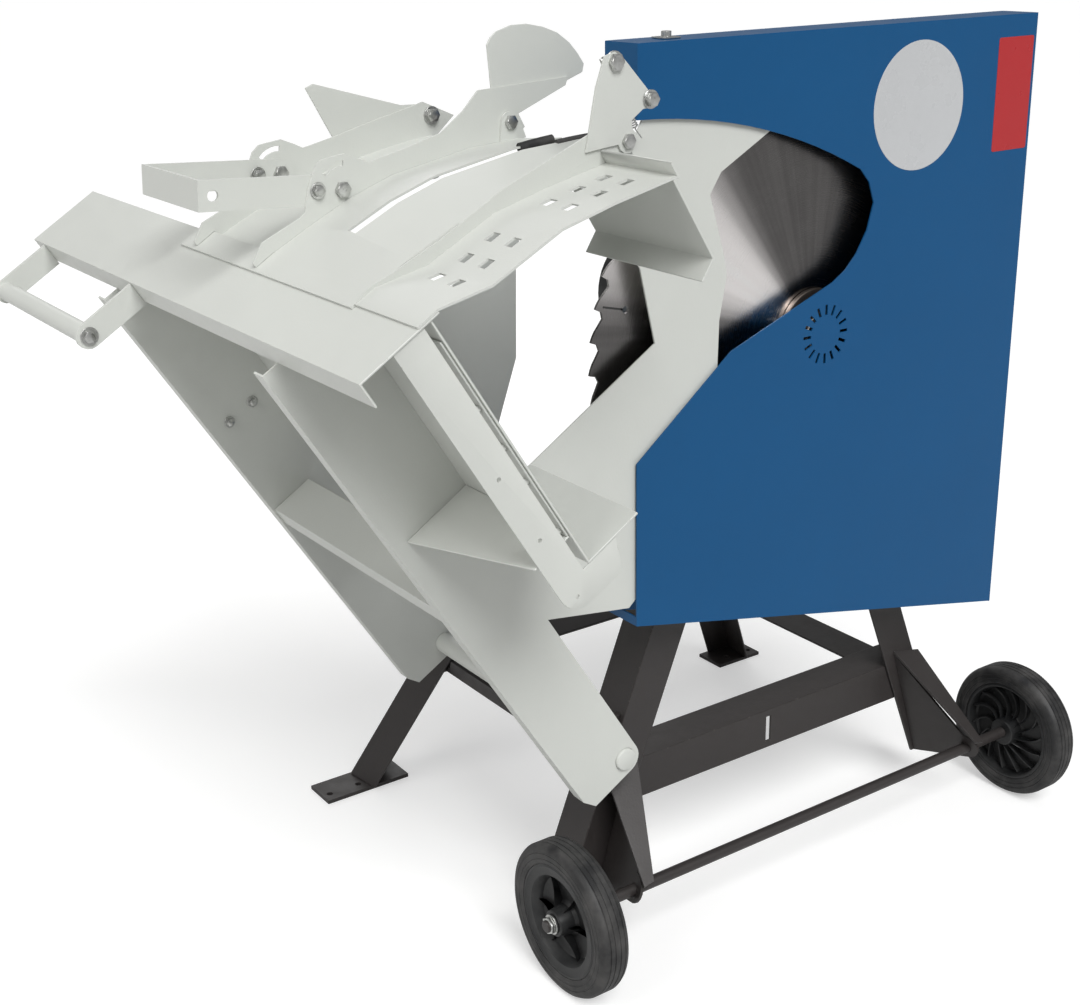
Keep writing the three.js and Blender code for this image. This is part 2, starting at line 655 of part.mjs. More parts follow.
function sidePlate(y, withCheek) {
  const plate = join(
    prism(sidePlateOutline(withCheek), "y", y, y + sheet),
    block(arm.left, arm.left + sheet, y, y + arm.flange, 0, shelf.height - shelf.lip - 2 * gap),
  );
  return cut(
    plate,
    rodY(pivot.shaftRadius + gap, 0, 0, y - overrun, y + overrun),
  );
}

function shelfShape() {
  const { left, right, height, lip, nearY, farY } = shelf;
  const outline = [
    [left, height], [right, height], [right, height - sheet], [left + sheet, height - sheet],
    [left + sheet, height - lip], [left, height - lip],
  ];
  return prism(outline, "y", nearY, farY);
}

function troughShape(y0, y1) {
  const top = shelf.height - sheet - gap;
  const { wall, floor, lip } = trough;
  const outline = [
    [wall, top], [wall + sheet, top], [wall + sheet, floor + sheet], [lip, floor + sheet], [lip, floor],
    [wall, floor],
  ];
  return prism(outline, "y", y0, y1);
}

function endFrameShape() {
  const { left, right, bottom, footRight, thickness } = endFrame;
  const top = shelf.height - sheet - gap;
  const floor = trough.floor - gap;
  const radius = right / 2;
  const outline = [
    [left, top], [right, top], [right, floor], [footRight, floor], [footRight - radius, bottom],
    ...arc(2 * radius, 180, 270, 5, left + 2 * radius, bottom + 2 * radius),
  ];
  return prism(outline, "y", trough.nearStart, trough.nearStart + thickness);
}

function gussetShape() {
  const near = trough.nearStart + endFrame.thickness + gap;
  const far = arm.nearY - gap;
  const right = trough.wall - gap;
  const outline = [[gusset.front, far], [right, far], [right, near], [gusset.tip, near]];
  return prism(outline, "z", gusset.height, gusset.height + sheet);
}

function crossPlateShape() {
  const left = arm.left + sheet + gap;
  const right = left + crossPlate.depth;
  const top = crossPlate.height;
  const outline = [
    [left, top], [right, top], [right, top - sheet], [left + sheet, top - sheet],
    [left + sheet, top - crossPlate.lip], [left, top - crossPlate.lip],
  ];
  return prism(outline, "y", arm.nearY + sheet + gap, arm.farY - gap);
}

// A strip bolted to the back of the near trough wall, with its free edge notched
function stiffenerShape() {
  const start = trough.nearStart + endFrame.thickness + gap;
  const edge = start + stiffener.width;
  const pitch = (stiffener.high - stiffener.low) / stiffener.steps;
  const outline = [[start, stiffener.high], [start, gusset.height + sheet + gap]];
  outline.push([edge, gusset.height + sheet + gap]);
  for (let i = 1; i < stiffener.steps; i++) {
    const v = stiffener.low + i * pitch;
    const inset = i % 2 ? stiffener.notchDepth : 0;
    outline.push([edge - (stiffener.notchDepth - inset), v], [edge - inset, v]);
  }
  outline.push([edge - stiffener.notchDepth, stiffener.high]);
  return prism(outline, "x", trough.wall - gap - sheet, trough.wall - gap);
}

// The far trough wall carries a brace beside the blade slot, up to the shelf
function farTroughShape() {
  const top = shelf.height - sheet - gap;
  const right = trough.wall + sheet / 2;
  const outline = [[slotGusset.front, top], [right, top], [right, slotGusset.low], [trough.wall, slotGusset.low]];
  return join(
    troughShape(trough.farStart, trough.farEnd),
    prism(outline, "y", trough.farStart, trough.farStart + sheet),
  );
}

const lipFace = shelf.left - gap;
const handleHeight = shelf.height - handle.drop;
const gripU = shelf.left - handle.reach;

function rockerHandle() {
  const ends = [handle.nearY, handle.farY];
  const straps = ends.map((y) =>
    capsule(gripU, handleHeight, 0, handleHeight, handle.halfHeight, y, y + handle.strap));
  const tube = rodY(handle.radius, gripU, handleHeight, handle.nearY + weld, handle.farY + handle.strap - weld);
  return cut(
    join(...straps, tube),
    block(lipFace, 2 * shelf.right, ends[0] - overrun, ends[1] + overrun, 0, 2 * shelf.height),
    ...ends.map((y) => rodY(handle.radius / 3, gripU, handleHeight, y - handle.strap, y + 2 * handle.strap, 10)),
  );
}

// The roof over the blade: an apron on the shelf and two sloping halves. The blade runs in the slot between them.
const apronTop = shelf.height + gap + sheet;
// A lug's edge at the roof's end before and after its round top, from the hinge pin, as shares of the pin boss
const lugRiseShares = [[-2.08, -1.15]];
const lugFallShares = [[0.95, -0.2], [0.6, -2.1], [-0.9, -1.6]];

const roofLug = (y) =>
  prism([
    ...spread(lugRiseShares, hinge.boss, hinge.boss, ...hingePoint),
    ...arc(hinge.boss - gap, -50, 100, 6, ...hingePoint),
    ...spread(lugFallShares, hinge.boss, hinge.boss, ...hingePoint),
  ], "y", y, y + sheet);

function roofHalf(line, edge) {
  const fall = roof.fall * Math.sign(edge);
  const slope = new THREE.Matrix4().set(1, 0, 0, 0, 0, 1, 0, 0, 0, -fall, 1, 0, 0, 0, 0, 1);
  const [firstU, firstV] = line[0];
  const low = firstV - fall * edge;
  const start = [shelf.right, 0, apronTop];
  return join(
    laidSheet(line, Math.min(0, edge), Math.max(0, edge)).applyMatrix4(slope),
    facet(start, [shelf.right, edge, apronTop], [firstU, edge, low]),
    facet(start, [firstU, edge, low], [firstU, 0, firstV]),
  );
}

function slotStrip() {
  const shortLine = [...ridge.filter(([u]) => u < roof.farEnd)];
  const [lastU, lastV] = shortLine.at(-1);
  const [nextU, nextV] = ridge[shortLine.length];
  const rest = (roof.farEnd - lastU) / (nextU - lastU);
  shortLine.push([roof.farEnd, lastV + rest * (nextV - lastV)]);
  const body = join(
    roofHalf(ridge, roof.near),
    roofHalf(shortLine, roof.far),
    block(apron.left, shelf.right, roof.near, apron.farY, apronTop - sheet, apronTop),
    roofLug(roof.near),
    roofLug(roof.far - sheet),
  );
  const beyond = 2 * shelf.height;
  return cut(
    body,
    block(roof.slotStart, beyond, -roof.slotHalf, roof.slotHalf, 0, beyond),
    block(roof.nearEnd, beyond, roof.near - overrun, roof.stripNear, 0, beyond),
    rodY(hinge.pin + gap, ...hingePoint, roof.near - overrun, roof.far + overrun, 16),
  );
}

const hingePin = (y0, y1) =>
  join(
    rodY(hinge.pin, ...hingePoint, y0, y1, 16),
    rodY(hinge.pinHead, ...hingePoint, y0 - hinge.headHeight, y0, 6),
  );

// Near guard: a perforated sheet beside the roof with an upright web at its inner edge and a small upright end
const seat = apronTop;
// Top of the guard's sheet and of its web, as shares of the hood's radius
const sheetShares = [[0.1330, 0.9572], [0.2481, 0.9488], [0.3274, 0.9258], [0.4271, 0.8913]];
const webShares = [
  [0.0281, 0.9841], [0.0512, 0.9885], [0.0703, 0.9847], [0.1023, 0.9795], [0.1662, 0.9712],
  [0.2724, 0.9655], [0.4246, 0.9399], [0.4501, 0.9271],
];
const holeShares = [0.1164, 0.1624, 0.2072, 0.2980, 0.3427, 0.3836];
const guardLine = [[guard.left, seat], [shelf.right, seat], ...spread(sheetShares, hood.radius)];
const webFace = roof.near - gap;

function guardWeb() {
  const under = guardLine.map(([u, v]) => [u, v - sheet]).reverse();
  const outline = [
    [guard.left, seat - sheet], ...spread(webShares, hood.radius),
    ...arc(hinge.boss, -20, 190, 8, ...hingePoint), ...under.slice(0, -1),
  ];
  return prism(outline, "y", webFace - sheet, webFace);
}

function nearGuard() {
  const [endU, endV] = guardLine.at(-1);
  const holes = holeShares.flatMap((share) => [0, 1].map((row) => {
    const u = share * hood.radius;
    const y = -guard.holeRow - row * guard.rowPitch;
    return block(u - guard.hole / 2, u + guard.hole / 2, y - guard.holeAcross / 2, y + guard.holeAcross / 2,
      flap.bottom, hood.cheekRadius);
  }));
  return cut(
    join(
      laidSheet(guardLine, guard.nearY, webFace - weld),
      guardWeb(),
      block(endU - sheet, endU, guard.nearY, webFace - weld, endV - sheet, endV + guard.endHeight),
    ),
    rodY(hinge.pin + gap, ...hingePoint, roof.near - overrun, roof.near + overrun, 16),
    ...holes,
  );
}

// The flap hangs under the guard's sheet. Its inner part stays lower, clear of the roof when the guard lifts.
function guardFlap() {
  const { u, bottom, hem, hemDrop, innerTop } = flap;
  const [[u0, v0], [u1, v1]] = guardLine.slice(-2);
  const right = u + sheet;
  const top = v0 + ((right - u0) / (u1 - u0)) * (v1 - v0) - sheet - gap;
  const outline = [
    [u, top], [right, top], [right, bottom], [u - hem, bottom - hemDrop],
    [u - hem - sheet / 2, bottom - hemDrop + sheet], [u, bottom + sheet],
  ];
  const edge = arm.nearY - 2 * gap;
  return cut(
    prism(outline, "y", guard.nearY, edge),
    block(u - overrun, right + overrun, webFace - sheet - gap, edge + overrun, innerTop, 2 * top),
  );
}

// The lever's edge and its two bolts, from the hinge pin, as shares of its width and height
const leverShares = [
  [-0.490, 0.256], [-0.049, 0.778], [0.206, 1.000], [0.333, 0.956], [0.392, 0.811],
  [0.510, 0.144], [0.441, 0.100], [0.324, 0.178], [0.147, 0.167],
];
const leverHeelShares = [[-0.225, 0.111]];
const leverBoltShares = [[0.284, 0.856], [0.451, 0.211]];

const leverOutline = () => [
  ...spread(leverShares, lever.width, lever.height, ...hingePoint),
  ...arc(hinge.boss, 60, 290, 8, ...hingePoint),
  ...spread(leverHeelShares, lever.width, lever.height, ...hingePoint),
];
const leverY = webFace - sheet - gap;
const leverBolts = spread(leverBoltShares, lever.width, lever.height, ...hingePoint);

function guardLever() {
  const y0 = leverY - lever.thickness;
  return cut(
    prism(leverOutline(), "y", y0, leverY),
    rodY(hinge.pin + gap, ...hingePoint, y0 - overrun, leverY + overrun, 16),
    ...leverBolts.map((at) => rodY(lever.bolt + gap, ...at, y0 - overrun, leverY + overrun, 12)),
  );
}

function leverBolt([u, v]) {
  const y0 = leverY - lever.thickness - gap;
  return join(
    rodY(lever.bolt, u, v, y0, y0 + lever.boltLength, 12),
    rodY(lever.head, u, v, y0 - lever.bolt, y0, 6),
  );
}

// Far hood: two sides, a lower sheet between them, lifting arms and a fan-shaped plate
// The upper edge of a side up to its ear and over it, then down to the hinge, as shares of the hood's radius
const hoodCrestShares = [
  [0.0256, 0.9910], [0.0524, 1.0051], [0.1176, 0.9962], [0.1279, 0.9974], [0.1496, 1.0192],
  [0.1752, 1.0371], [0.1900, 1.0395], [0.2020, 1.0345], [0.2238, 1.0243], [0.2366, 1.0064], [0.2455, 0.9923],
  [0.2967, 0.9744], [0.3619, 0.9540],
];
// The near side reaches on past the hinge and carries the fan-shaped plate
const fanSeatShares = [[0.4105, 0.9565], [0.4476, 0.9655], [0.5882, 0.8875], [0.5767, 0.8798], [0.4860, 0.8960]];
const plainEndShares = [[0.4284, 0.9309], [0.4501, 0.9245]];
const hoodEndShares = [[0.4847, 0.8734]];

function hoodSideOutline(endShares) {
  const foot = seat + gap;
  const inner = farHood.bottom;
  const start = THREE.MathUtils.radToDeg(Math.asin((shelf.right + 2 * gap) / inner));
  return [
    [guard.left, foot],
    ...spread([...hoodCrestShares, ...endShares, ...hoodEndShares], hood.radius),
    ...arc(inner, hinge.angle - 0.9, start, 10),
    [shelf.right + 2 * gap, foot],
  ];
}

const armEyes = [lift.innerPinShare, 1].map((share) =>
  [lift.u + share * (lift.pinU - lift.u), lift.v + share * (lift.pinV - lift.v)]);

function hoodSide(y, endShares) {
  const slot = [
    ...arc(curvedSlot.outer, curvedSlot.from, curvedSlot.to, 5, lift.pinU, lift.pinV),
    ...arc(curvedSlot.inner, curvedSlot.to, curvedSlot.from, 5, lift.pinU, lift.pinV),
  ];
  return cut(
    prism(hoodSideOutline(endShares), "y", y, y + sheet),
    prism(slot, "y", y - overrun, y + overrun),
    ...armEyes.map((at) => rodY(lever.bolt + gap, ...at, y - overrun, y + overrun, 12)),
  );
}

const hoodNearSide = () =>
  cut(
    hoodSide(farHood.side, fanSeatShares),
    rodY(hinge.pin + gap, ...hingePoint, farHood.side - overrun, farHood.side + overrun, 16),
  );

// Slots in the lower sheet: where each begins, as shares of the hood's radius
const sheetSlotShares = [0.325, 0.372];

function hoodFarSide() {
  const y0 = farHood.side + sheet + gap;
  const y1 = farHood.farSide + sheet / 2;
  const middle = (y0 + y1) / 2;
  const lowerSheet = archedSheet(farHood.sheetRadius, hood.start, farHood.sheetEnd, y0, y1);
  return cut(
    join(hoodSide(farHood.farSide, plainEndShares), lowerSheet),
    ...sheetSlotShares.map((share) => block(share * hood.radius, share * hood.radius + sheetSlot.length,
      middle - sheetSlot.width / 2, middle + sheetSlot.width / 2, flap.bottom, hood.cheekRadius)),
  );
}

const nearArmY = farHood.side + sheet + gap;
const farArmY = farHood.farSide - gap - lift.thickness;

// A point of the lifting frame, along its arms from their outer end and square to them
function onArm(along, across) {
  const length = Math.hypot(lift.pinU - lift.u, lift.pinV - lift.v);
  const [du, dv] = [(lift.pinU - lift.u) / length, (lift.pinV - lift.v) / length];
  return [lift.u + along * du - across * dv, lift.v + along * dv + across * du];
}

function liftFrame() {
  const { halfWidth, thickness } = lift;
  const along = THREE.MathUtils.radToDeg(Math.atan2(lift.pinU - lift.u, lift.pinV - lift.v));
  const outline = [
    onArm(-halfWidth, -halfWidth), onArm(-halfWidth, halfWidth),
    ...arc(halfWidth, along - 90, along + 90, 8, lift.pinU, lift.pinV),
  ];
  const bridge = [
    onArm(-halfWidth, -halfWidth), onArm(-halfWidth, halfWidth),
    onArm(thickness - halfWidth, halfWidth), onArm(thickness - halfWidth, -halfWidth),
  ];
  return cut(
    join(
      prism(outline, "y", nearArmY, nearArmY + thickness),
      prism(outline, "y", farArmY, farArmY + thickness),
      prism(bridge, "y", nearArmY + weld, farArmY + thickness - weld),
    ),
    ...[[lift.u, lift.v], ...armEyes].map((at) =>
      rodY(lever.bolt + gap, ...at, nearArmY - overrun, farArmY + overrun, 12)),
  );
}

// Bolt through a side and an arm, with its head towards the near side
const armBolt = ([u, v], y) => {
  const low = y - gap;
  const high = y + sheet + gap + lift.thickness + lever.bolt;
  return join(rodY(lever.bolt, u, v, low, high, 12), rodY(lever.head, u, v, low - lever.bolt, low, 6));
};

// The fan-shaped plate's edge, from the hinge pin, as shares of its width and height
const fanShares = [
  [-0.041, 0.315], [0.016, 0.478], [0.195, 0.946], [0.260, 0.989], [0.341, 1.000], [0.512, 0.935],
  [0.659, 0.815], [0.797, 0.641], [0.902, 0.457], [0.967, 0.250], [0.992, 0.065],
  [1.000, -0.098], [0.943, -0.174], [0.691, -0.098], [0.163, 0.054],
];

function fanPlate() {
  const y = farHood.side + sheet + gap;
  return prism(spread(fanShares, fan.width, fan.height, ...hingePoint), "y", y, y + sheet);
}

// The wing stands upright on the hood's far side. Its edge as shares of the hood's radius.
const wingShares = [
  [0.2941, 0.9616], [0.3005, 1.0588], [0.3146, 1.0563], [0.3581, 1.0077], [0.4182, 0.9412],
  [0.4399, 0.9271], [0.4399, 0.9118],
];

function wingPlate() {
  const y = farHood.farSide + sheet + gap;
  return prism(spread(wingShares, hood.radius), "y", y, y + sheet);
}

// Assembly
const right = (build) => mirrorX(build());
const wheelX = [stand.centre - wheel.track / 2, stand.centre + wheel.track / 2];

const base = new THREE.Group().add(
  piece("housing_cover", housingCover(), "blue"),
  piece("housing_back", housingBack(), "blue"),
  piece("cover_latch", coverLatch(), "zinc"),
  piece("near_left_leg", nearLeftLeg(), "black"),
  piece("near_right_leg", right(nearLeftLeg), "black"),
  piece("far_left_leg", farLeftLeg(), "black"),
  piece("far_right_leg", right(farLeftLeg).translate(farLeg.rightShift, 0, 0), "black"),
  piece("near_rail", nearRail(), "black"),
  piece("far_rail", farRail(), "black"),
  piece("left_side_rail", leftSideRail(), "black"),
  piece("right_side_rail", right(leftSideRail), "black"),
  piece("left_foot_plate", footPlate(leftFoot), "black"),
  piece("right_foot_plate", footPlate(rightFoot), "black"),
  piece("left_axle_bracket", leftBracket(), "black"),
  piece("right_axle_bracket", right(leftBracket), "black"),
  piece("wheel_axle", wheelAxle(), "black"),
  piece("left_hub_nut", hubNut(-1), "zinc"),
  piece("right_hub_nut", hubNut(1), "zinc"),
  piece("motor_plate", motorMount(), "black"),
  piece("motor_body", motorBody(), "grey"),
  piece("fan_cowl", fanCowl(), "plastic"),
  piece("switch_box", switchBox(), "plastic"),
  piece("power_inlet", powerInlet(), "plastic"),
  piece("start_button", pushButton(buttonY[0]), "green"),
  piece("stop_button", pushButton(buttonY[1]), "red"),
  piece("near_pivot_lug", nearLug(), "black"),
  piece("far_pivot_lug", farLug(), "black"),
  piece("left_tyre", tyreShape(wheelX[0]), "rubber"),
  piece("right_tyre", tyreShape(wheelX[1]), "rubber"),
  piece("left_rim", rimShape(wheelX[0]), "plastic"),
  piece("right_rim", rimShape(wheelX[1]), "plastic"),
  piece("saw_blade", sawBlade(), "steel"),
  piece("outer_flange", outerFlange(), "steel"),
  piece("arbor_nut", arborNutShape(), "zinc"),
  piece("arbor_shaft", arborShaft(), "steel"),
);

const rocker = new THREE.Group().add(
  piece("near_rocker_plate", sidePlate(arm.nearY, true), "white"),
  piece("far_rocker_plate", sidePlate(arm.farY, false), "white"),
  piece("pivot_shaft", pivotShaft(), "white"),
  piece("shelf", shelfShape(), "white"),
  piece("near_trough", troughShape(trough.nearStart, arm.nearY - gap), "white"),
  piece("far_trough", farTroughShape(), "white"),
  piece("trough_end_frame", endFrameShape(), "white"),
  piece("rocker_gusset", gussetShape(), "white"),
  piece("cross_plate", crossPlateShape(), "white"),
  piece("wall_stiffener", stiffenerShape(), "white"),
  piece("rocker_handle", rockerHandle(), "white"),
  piece("slot_strip", slotStrip(), "white"),
  piece("near_hinge_pin", hingePin(leverY - lever.thickness - gap, leverY + hinge.pinLength), "zinc"),
  piece("far_hinge_pin", hingePin(roof.far - sheet - gap, roof.far + hinge.pinLength), "zinc"),
  piece("near_guard", nearGuard(), "white"),
  piece("guard_flap", guardFlap(), "white"),
  piece("guard_lever", guardLever(), "white"),
  piece("lever_top_bolt", leverBolt(leverBolts[0]), "zinc"),
  piece("hood_near_side", hoodNearSide(), "white"),
  piece("hood_far_side", hoodFarSide(), "white"),
  piece("lift_frame", liftFrame(), "white"),
  piece("near_arm_bolt", armBolt(armEyes[1], farHood.side), "zinc"),
  piece("far_arm_bolt", armBolt(armEyes[1], farHood.farSide - gap - lift.thickness), "zinc"),
  piece("fan_plate", fanPlate(), "white"),
  piece("wing_plate", wingPlate(), "white"),
);
rocker.position.set(pivot.x, 0, pivot.z);
rocker.rotation.y = -THREE.MathUtils.degToRad(restTilt);

// The whole saw is moved so that its own origin lies under the middle of its bounding box, on the floor
const saw = new THREE.Group().add(base, rocker);
saw.updateMatrixWorld(true);
const extent = new THREE.Box3().setFromObject(saw, true);
const middle = extent.getCenter(new THREE.Vector3());
saw.position.set(-middle.x, -middle.y, -extent.min.z);

export default saw;
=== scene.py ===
# Firewood saw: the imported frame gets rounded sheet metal, turned and pressed pieces, fasteners and finishes.
# Places are in millimetres in the saw's own drawing, whose zero is the floor under the blade's hub.
import json
import math

import bmesh
import bpy
from mathutils import Matrix, Vector


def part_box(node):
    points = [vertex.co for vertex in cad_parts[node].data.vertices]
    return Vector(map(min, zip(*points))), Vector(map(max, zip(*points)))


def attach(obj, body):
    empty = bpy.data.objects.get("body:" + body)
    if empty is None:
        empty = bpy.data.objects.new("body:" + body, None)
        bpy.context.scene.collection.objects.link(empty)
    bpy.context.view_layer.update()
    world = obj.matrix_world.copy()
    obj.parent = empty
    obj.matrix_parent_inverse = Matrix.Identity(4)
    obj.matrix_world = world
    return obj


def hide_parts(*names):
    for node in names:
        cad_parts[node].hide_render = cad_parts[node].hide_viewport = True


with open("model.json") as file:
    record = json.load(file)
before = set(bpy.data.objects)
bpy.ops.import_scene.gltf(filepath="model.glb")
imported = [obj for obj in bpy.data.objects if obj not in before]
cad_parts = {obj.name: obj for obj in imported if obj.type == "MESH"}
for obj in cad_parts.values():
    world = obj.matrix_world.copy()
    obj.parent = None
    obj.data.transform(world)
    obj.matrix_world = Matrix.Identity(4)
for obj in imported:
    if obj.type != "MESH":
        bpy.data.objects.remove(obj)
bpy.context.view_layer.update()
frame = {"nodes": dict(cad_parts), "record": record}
bodyOfNode = {node: body for body, nodes in frame["record"]["behaviour"]["bodies"].items() for node in nodes}
slotOfNode = {part["node"]: part["material_slot"] for part in frame["record"]["subparts"]}
print("frame loaded")

drawing = {
    "hubHeight": 779, "pivotX": -317, "pivotZ": 275, "restTilt": 32, "hingeRadius": 790, "hingeTurn": 27.5,
}
bladeLow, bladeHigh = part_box("saw_blade")
drawingZero = (bladeLow + bladeHigh) / 2 - Vector((0, 0, drawing["hubHeight"] / 1000))
tilt = math.radians(drawing["restTilt"])
hingeTurn = math.radians(drawing["hingeTurn"])
hingeU = drawing["hingeRadius"] * math.sin(hingeTurn)
hingeV = drawing["hingeRadius"] * math.cos(hingeTurn)


def at(x, y, z):
    return drawingZero + Vector((x, y, z)) / 1000


# a point of the rocker: u to the back and v up along its arms, before it is tilted
def onRocker(u, y, v):
    x = drawing["pivotX"] + u * math.cos(tilt) - v * math.sin(tilt)
    z = drawing["pivotZ"] + u * math.sin(tilt) + v * math.cos(tilt)
    return at(x, y, z)


skinResults = (("Color", "NodeSocketColor"), ("Roughness", "NodeSocketFloat"), ("Height", "NodeSocketFloat"))


# a skin is a node group that puts out a colour, a roughness and a height
def newSkin(name, inputs):
    tree = bpy.data.node_groups.new(name, "ShaderNodeTree")
    for label, kind, value in inputs:
        socket = tree.interface.new_socket(label, in_out="INPUT", socket_type=kind)
        socket.default_value = value
    for label, kind in skinResults:
        tree.interface.new_socket(label, in_out="OUTPUT", socket_type=kind)
    given = tree.nodes.new("NodeGroupInput").outputs
    place = tree.nodes.new("ShaderNodeTexCoord").outputs["Object"]
    return tree, given, place


def finishSkin(tree, **results):
    out = tree.nodes.new("NodeGroupOutput")
    for label, value in results.items():
        tree.links.new(value, out.inputs[label])
    return tree


def setInputs(tree, made, values):
    for socket, value in values.items():
        target = made.inputs[socket]
        if isinstance(value, bpy.types.NodeSocket):
            tree.links.new(value, target)
        else:
            target.default_value = value
    return made


def node(tree, kind, links, **settings):
    made = tree.nodes.new(kind)
    for key, value in settings.items():
        setattr(made, key, value)
    return setInputs(tree, made, links)


def maths(tree, operation, *values):
    return node(tree, "ShaderNodeMath", dict(enumerate(values)), operation=operation).outputs[0]


def plus(tree, a, b):
    return maths(tree, "ADD", a, b)


def minus(tree, a, b):
    return maths(tree, "SUBTRACT", a, b)


def times(tree, a, b):
    return maths(tree, "MULTIPLY", a, b)


# how far a value lies over or under its middle, by a share
def swing(tree, value, share, middle=0.5):
    return times(tree, minus(tree, value, middle), share)


def spread(tree, value, low, high, toLow=0.0, toHigh=1.0, **settings):
    return node(
        tree, "ShaderNodeMapRange",
        {"Value": value, "From Min": low, "From Max": high, "To Min": toLow, "To Max": toHigh}, **settings,
    ).outputs["Result"]


def mixColours(tree, share, a, b):
    return node(tree, "ShaderNodeMix", {0: share, 6: a, 7: b}, data_type="RGBA", blend_type="MIX").outputs[2]


def shaded(tree, colour, brightness):
    return node(tree, "ShaderNodeHueSaturation", {"Color": colour, "Value": brightness}).outputs[0]


def noise(tree, vector, scale, detail=3.0, roughness=0.55):
    return node(
        tree, "ShaderNodeTexNoise",
        {"Vector": vector, "Scale": scale, "Detail": detail, "Roughness": roughness},
    ).outputs["Fac"]


# noise drawn out along one way, for scratches and tool marks
def streaks(tree, place, stretch, turn=(0, 0, 0)):
    drawn = node(tree, "ShaderNodeMapping", {"Vector": place, "Rotation": turn, "Scale": stretch}).outputs[0]
    return noise(tree, drawn, 1.0, 2.0)


# in the skins' values a noise is its scale, detail and roughness, and a band is where it starts to show and is full
paintGrain = {
    "peel": (2.0, 0.5), "clouds": (5.0, 4.0), "fineClouds": (38.0, 5.0), "glossBand": (0.3, 0.7),
    "scratchStretch": (9, 420, 60), "scratchTurn": (0.4, 0.9, 0.3), "scratchBand": (0.76, 0.80),
    "scratchGloss": 0.05, "scratchDepth": 0.05,
    "specks": (1500.0, 1.0), "speckBand": (0.80, 0.86), "speckShare": 0.06, "speckColour": (0.55, 0.53, 0.5, 1),
    "chips": (95.0, 6.0, 0.7), "chipBand": (0.60, 0.66), "chipGloss": 0.2, "chipDepth": 0.6,
}


# powder paint: orange peel, faint clouds, hairline scratches, dust specks and chipped edges
def makePaintSkin(grain):
    tree, given, place = newSkin("paintSkin", [
        ("Paint", "NodeSocketColor", (0.5, 0.5, 0.5, 1)),
        ("Under", "NodeSocketColor", (0.2, 0.2, 0.2, 1)),
        ("Peel scale", "NodeSocketFloat", 420.0),
        ("Peel depth", "NodeSocketFloat", 1.0),
        ("Cloud", "NodeSocketFloat", 0.06),
        ("Wear", "NodeSocketFloat", 0.3),
        ("Gloss low", "NodeSocketFloat", 0.3),
        ("Gloss high", "NodeSocketFloat", 0.42),
    ])
    peel = noise(tree, place, given["Peel scale"], *grain["peel"])
    fineClouds = noise(tree, place, *grain["fineClouds"])
    drawnOut = streaks(tree, place, grain["scratchStretch"], grain["scratchTurn"])
    scratches = spread(tree, drawnOut, *grain["scratchBand"])
    specks = spread(tree, noise(tree, place, *grain["specks"]), *grain["speckBand"])
    edge = node(tree, "ShaderNodeAttribute", {}, attribute_name="edgeShare").outputs["Fac"]
    chips = spread(tree, noise(tree, place, *grain["chips"]), *grain["chipBand"])
    chipped = times(tree, times(tree, edge, chips), given["Wear"])
    shade = swing(tree, noise(tree, place, *grain["clouds"]), given["Cloud"])
    fineShade = swing(tree, fineClouds, times(tree, given["Cloud"], 0.5))
    toned = shaded(tree, given["Paint"], plus(tree, plus(tree, shade, fineShade), 1.0))
    dusty = mixColours(tree, times(tree, specks, grain["speckShare"]), toned, grain["speckColour"])
    gloss = spread(tree, fineClouds, *grain["glossBand"], given["Gloss low"], given["Gloss high"])
    rougher = plus(tree, gloss, times(tree, scratches, grain["scratchGloss"]))
    surface = times(tree, peel, given["Peel depth"])
    surface = minus(tree, surface, times(tree, chipped, grain["chipDepth"]))
    return finishSkin(
        tree, Color=mixColours(tree, chipped, dusty, given["Under"]),
        Roughness=plus(tree, rougher, times(tree, chipped, grain["chipGloss"])),
        Height=minus(tree, surface, times(tree, scratches, grain["scratchDepth"])))


# the fan values shape painted reflections on the steel, bright fans and dark sectors; the rings and stains are the
# steel's own
groundAndPaintedFanGrain = {
    "rings": {"Scale": 1.0, "Detail": 4.0, "Roughness": 0.7}, "ringTone": 0.22, "ringGloss": 0.14,
    "paintedFanNoise": (4.0, 2.0), "paintedFanShare": 0.5, "paintedFanBand": (0.6, 1.0), "paintedFanMiddle": 0.6,
    "paintedFineFans": (17.0, 3.0), "paintedFineFanTone": 0.16,
    "stains": (30.0, 6.0, 0.65), "stainTone": 0.08, "stainGloss": 0.12, "stainMiddle": 0.4,
}
